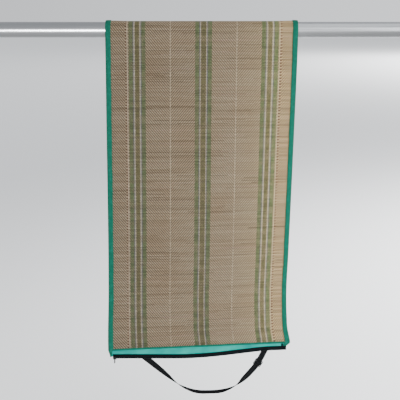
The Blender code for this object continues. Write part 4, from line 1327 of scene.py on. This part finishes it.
# %% [markdown]
# The stage is plain: a pale floor below the hanging mat, a soft sky that is brighter to the right, two
# large soft lights from the right, one of them from above, and three that only light the floor, which
# grows paler to the right. Metal shows what is round it, so the rail has its own lights in front, which
# draw the bright line along it, and two glowing cards below, which only reflections see and which keep
# the bright floor out of its lower half. All of them were fitted to the picture, by trial or by a fit.

# %% Stage and light
FLOOR_LEVEL = -1.45
FLOOR_HALF = 400.0

floor_material, tree, shader = new_material("matt_white_paint", Base_Color=linear("eff0f1"), Roughness=0.9)
bm = bmesh.new()
bmesh.ops.create_grid(bm, x_segments=1, y_segments=1, size=FLOOR_HALF)
bmesh.ops.translate(bm, verts=bm.verts, vec=(RAIL_LENGTH / 2, 0.0, FLOOR_LEVEL))
floor = mesh_piece("floor", bm, floor_material)
floor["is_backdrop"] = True

world = bpy.data.worlds.new("studio")
world.use_nodes = True
sky = world.node_tree.nodes["Background"]
sky.inputs["Color"].default_value = linear("c4c6c9")
facing = add_node(world.node_tree, "ShaderNodeTexCoord").outputs["Object"]
sideways = add_node(world.node_tree, "ShaderNodeSeparateXYZ", None, {0: facing})
glow = add_node(world.node_tree, "ShaderNodeMapRange", None, {0: sideways, 1: -0.2, 2: 0.2, 3: 1.46, 4: 1.92})
world.node_tree.links.new(glow.outputs[0], sky.inputs["Strength"])
bpy.context.scene.world = world


class Lamp(NamedTuple):
    """A soft rectangular light."""
    name: str
    place: tuple      # m
    aim: tuple        # m
    size: tuple       # m
    power: float      # W


LAMPS = (
    Lamp("key", (2.1, -1.4, -0.3), (0.8, 0.0, -0.5), (0.6, 2.4), 20.0),
    Lamp("from_above", (1.9, -1.4, 2.6), (1.9, -1.4, 0.0), (1.8, 3.5), 30.0),
    Lamp("rail_line", (-0.9, -5.0, -1.05), (0.0, 0.0, 0.0), (2.6, 0.5), 700.0),
    Lamp("rail_front", (1.95, -4.2, 1.8), (1.2, 0.0, 0.0), (1.6, 1.4), 26.0),
    Lamp("floor_near", (4.1, 2.5, 2.2), (6.0, 1.5, FLOOR_LEVEL), (4.0, 4.0), 780.0),
    Lamp("floor_low", (1.6, -0.8, 1.95), (1.6, -0.8, FLOOR_LEVEL), (1.5, 1.5), 31.0),
    Lamp("floor_far", (19.7, 26.5, 5.0), (19.7, 26.5, 0.0), (20.0, 20.0), 15000.0),
)
rail_only = bpy.data.collections.new("lit_by_rail_lamps")
rail_only.objects.link(rail)
floor_only = bpy.data.collections.new("lit_by_floor_lamps")
floor_only.objects.link(floor)
for lamp in LAMPS:
    data = bpy.data.lights.new(lamp.name, "AREA")
    data.shape = "RECTANGLE"
    data.size, data.size_y = lamp.size
    data.energy = lamp.power
    light = bpy.data.objects.new(lamp.name, data)
    light.location = lamp.place
    light.rotation_euler = (Vector(lamp.aim) - Vector(lamp.place)).to_track_quat("-Z", "Y").to_euler()
    bpy.context.scene.collection.objects.link(light)
    if lamp.name.startswith("rail"):
        light.light_linking.receiver_collection = rail_only
    if lamp.name.startswith("floor"):
        light.light_linking.receiver_collection = floor_only

CARD_LEVEL = -0.5
CARD_DEPTH = (-2.0, 0.5)       # m, from in front of the rail to behind it
CARDS = {"card_left": (-1.0, 0.37), "card_right": (1.05, 2.6)}
# Painted reflection: the cards glow evenly and only reflections see them, which keeps the bright floor out of
# the rail's lower half.
card_glow = new_material("glowing_reflection_card", Base_Color=linear("000000"), Specular_IOR_Level=0.0,
                         Emission_Color=linear("ffffff"), Emission_Strength=0.95)[0]
for name, (left, right) in CARDS.items():
    bm = bmesh.new()
    bmesh.ops.create_grid(bm, x_segments=1, y_segments=1, size=0.5)
    bmesh.ops.scale(bm, verts=bm.verts, vec=(right - left, CARD_DEPTH[1] - CARD_DEPTH[0], 1.0))
    bmesh.ops.translate(bm, verts=bm.verts,
                        vec=((left + right) / 2, (CARD_DEPTH[0] + CARD_DEPTH[1]) / 2, CARD_LEVEL))
    card = mesh_piece(name, bm, card_glow)
    card.visible_camera = False
    card.visible_diffuse = False
    card.visible_transmission = False
    card.visible_shadow = False
    card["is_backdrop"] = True

# %% [markdown]
# Last, the finished pieces are measured, and their box is printed beside that of the solids that they dress.

# %% Sizes and the end
VISUAL_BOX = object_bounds()
for name, box in (("solids", CAD_BOX), ("pieces", VISUAL_BOX)):
    print(name, [[round(value, 3) for value in corner] for corner in box])
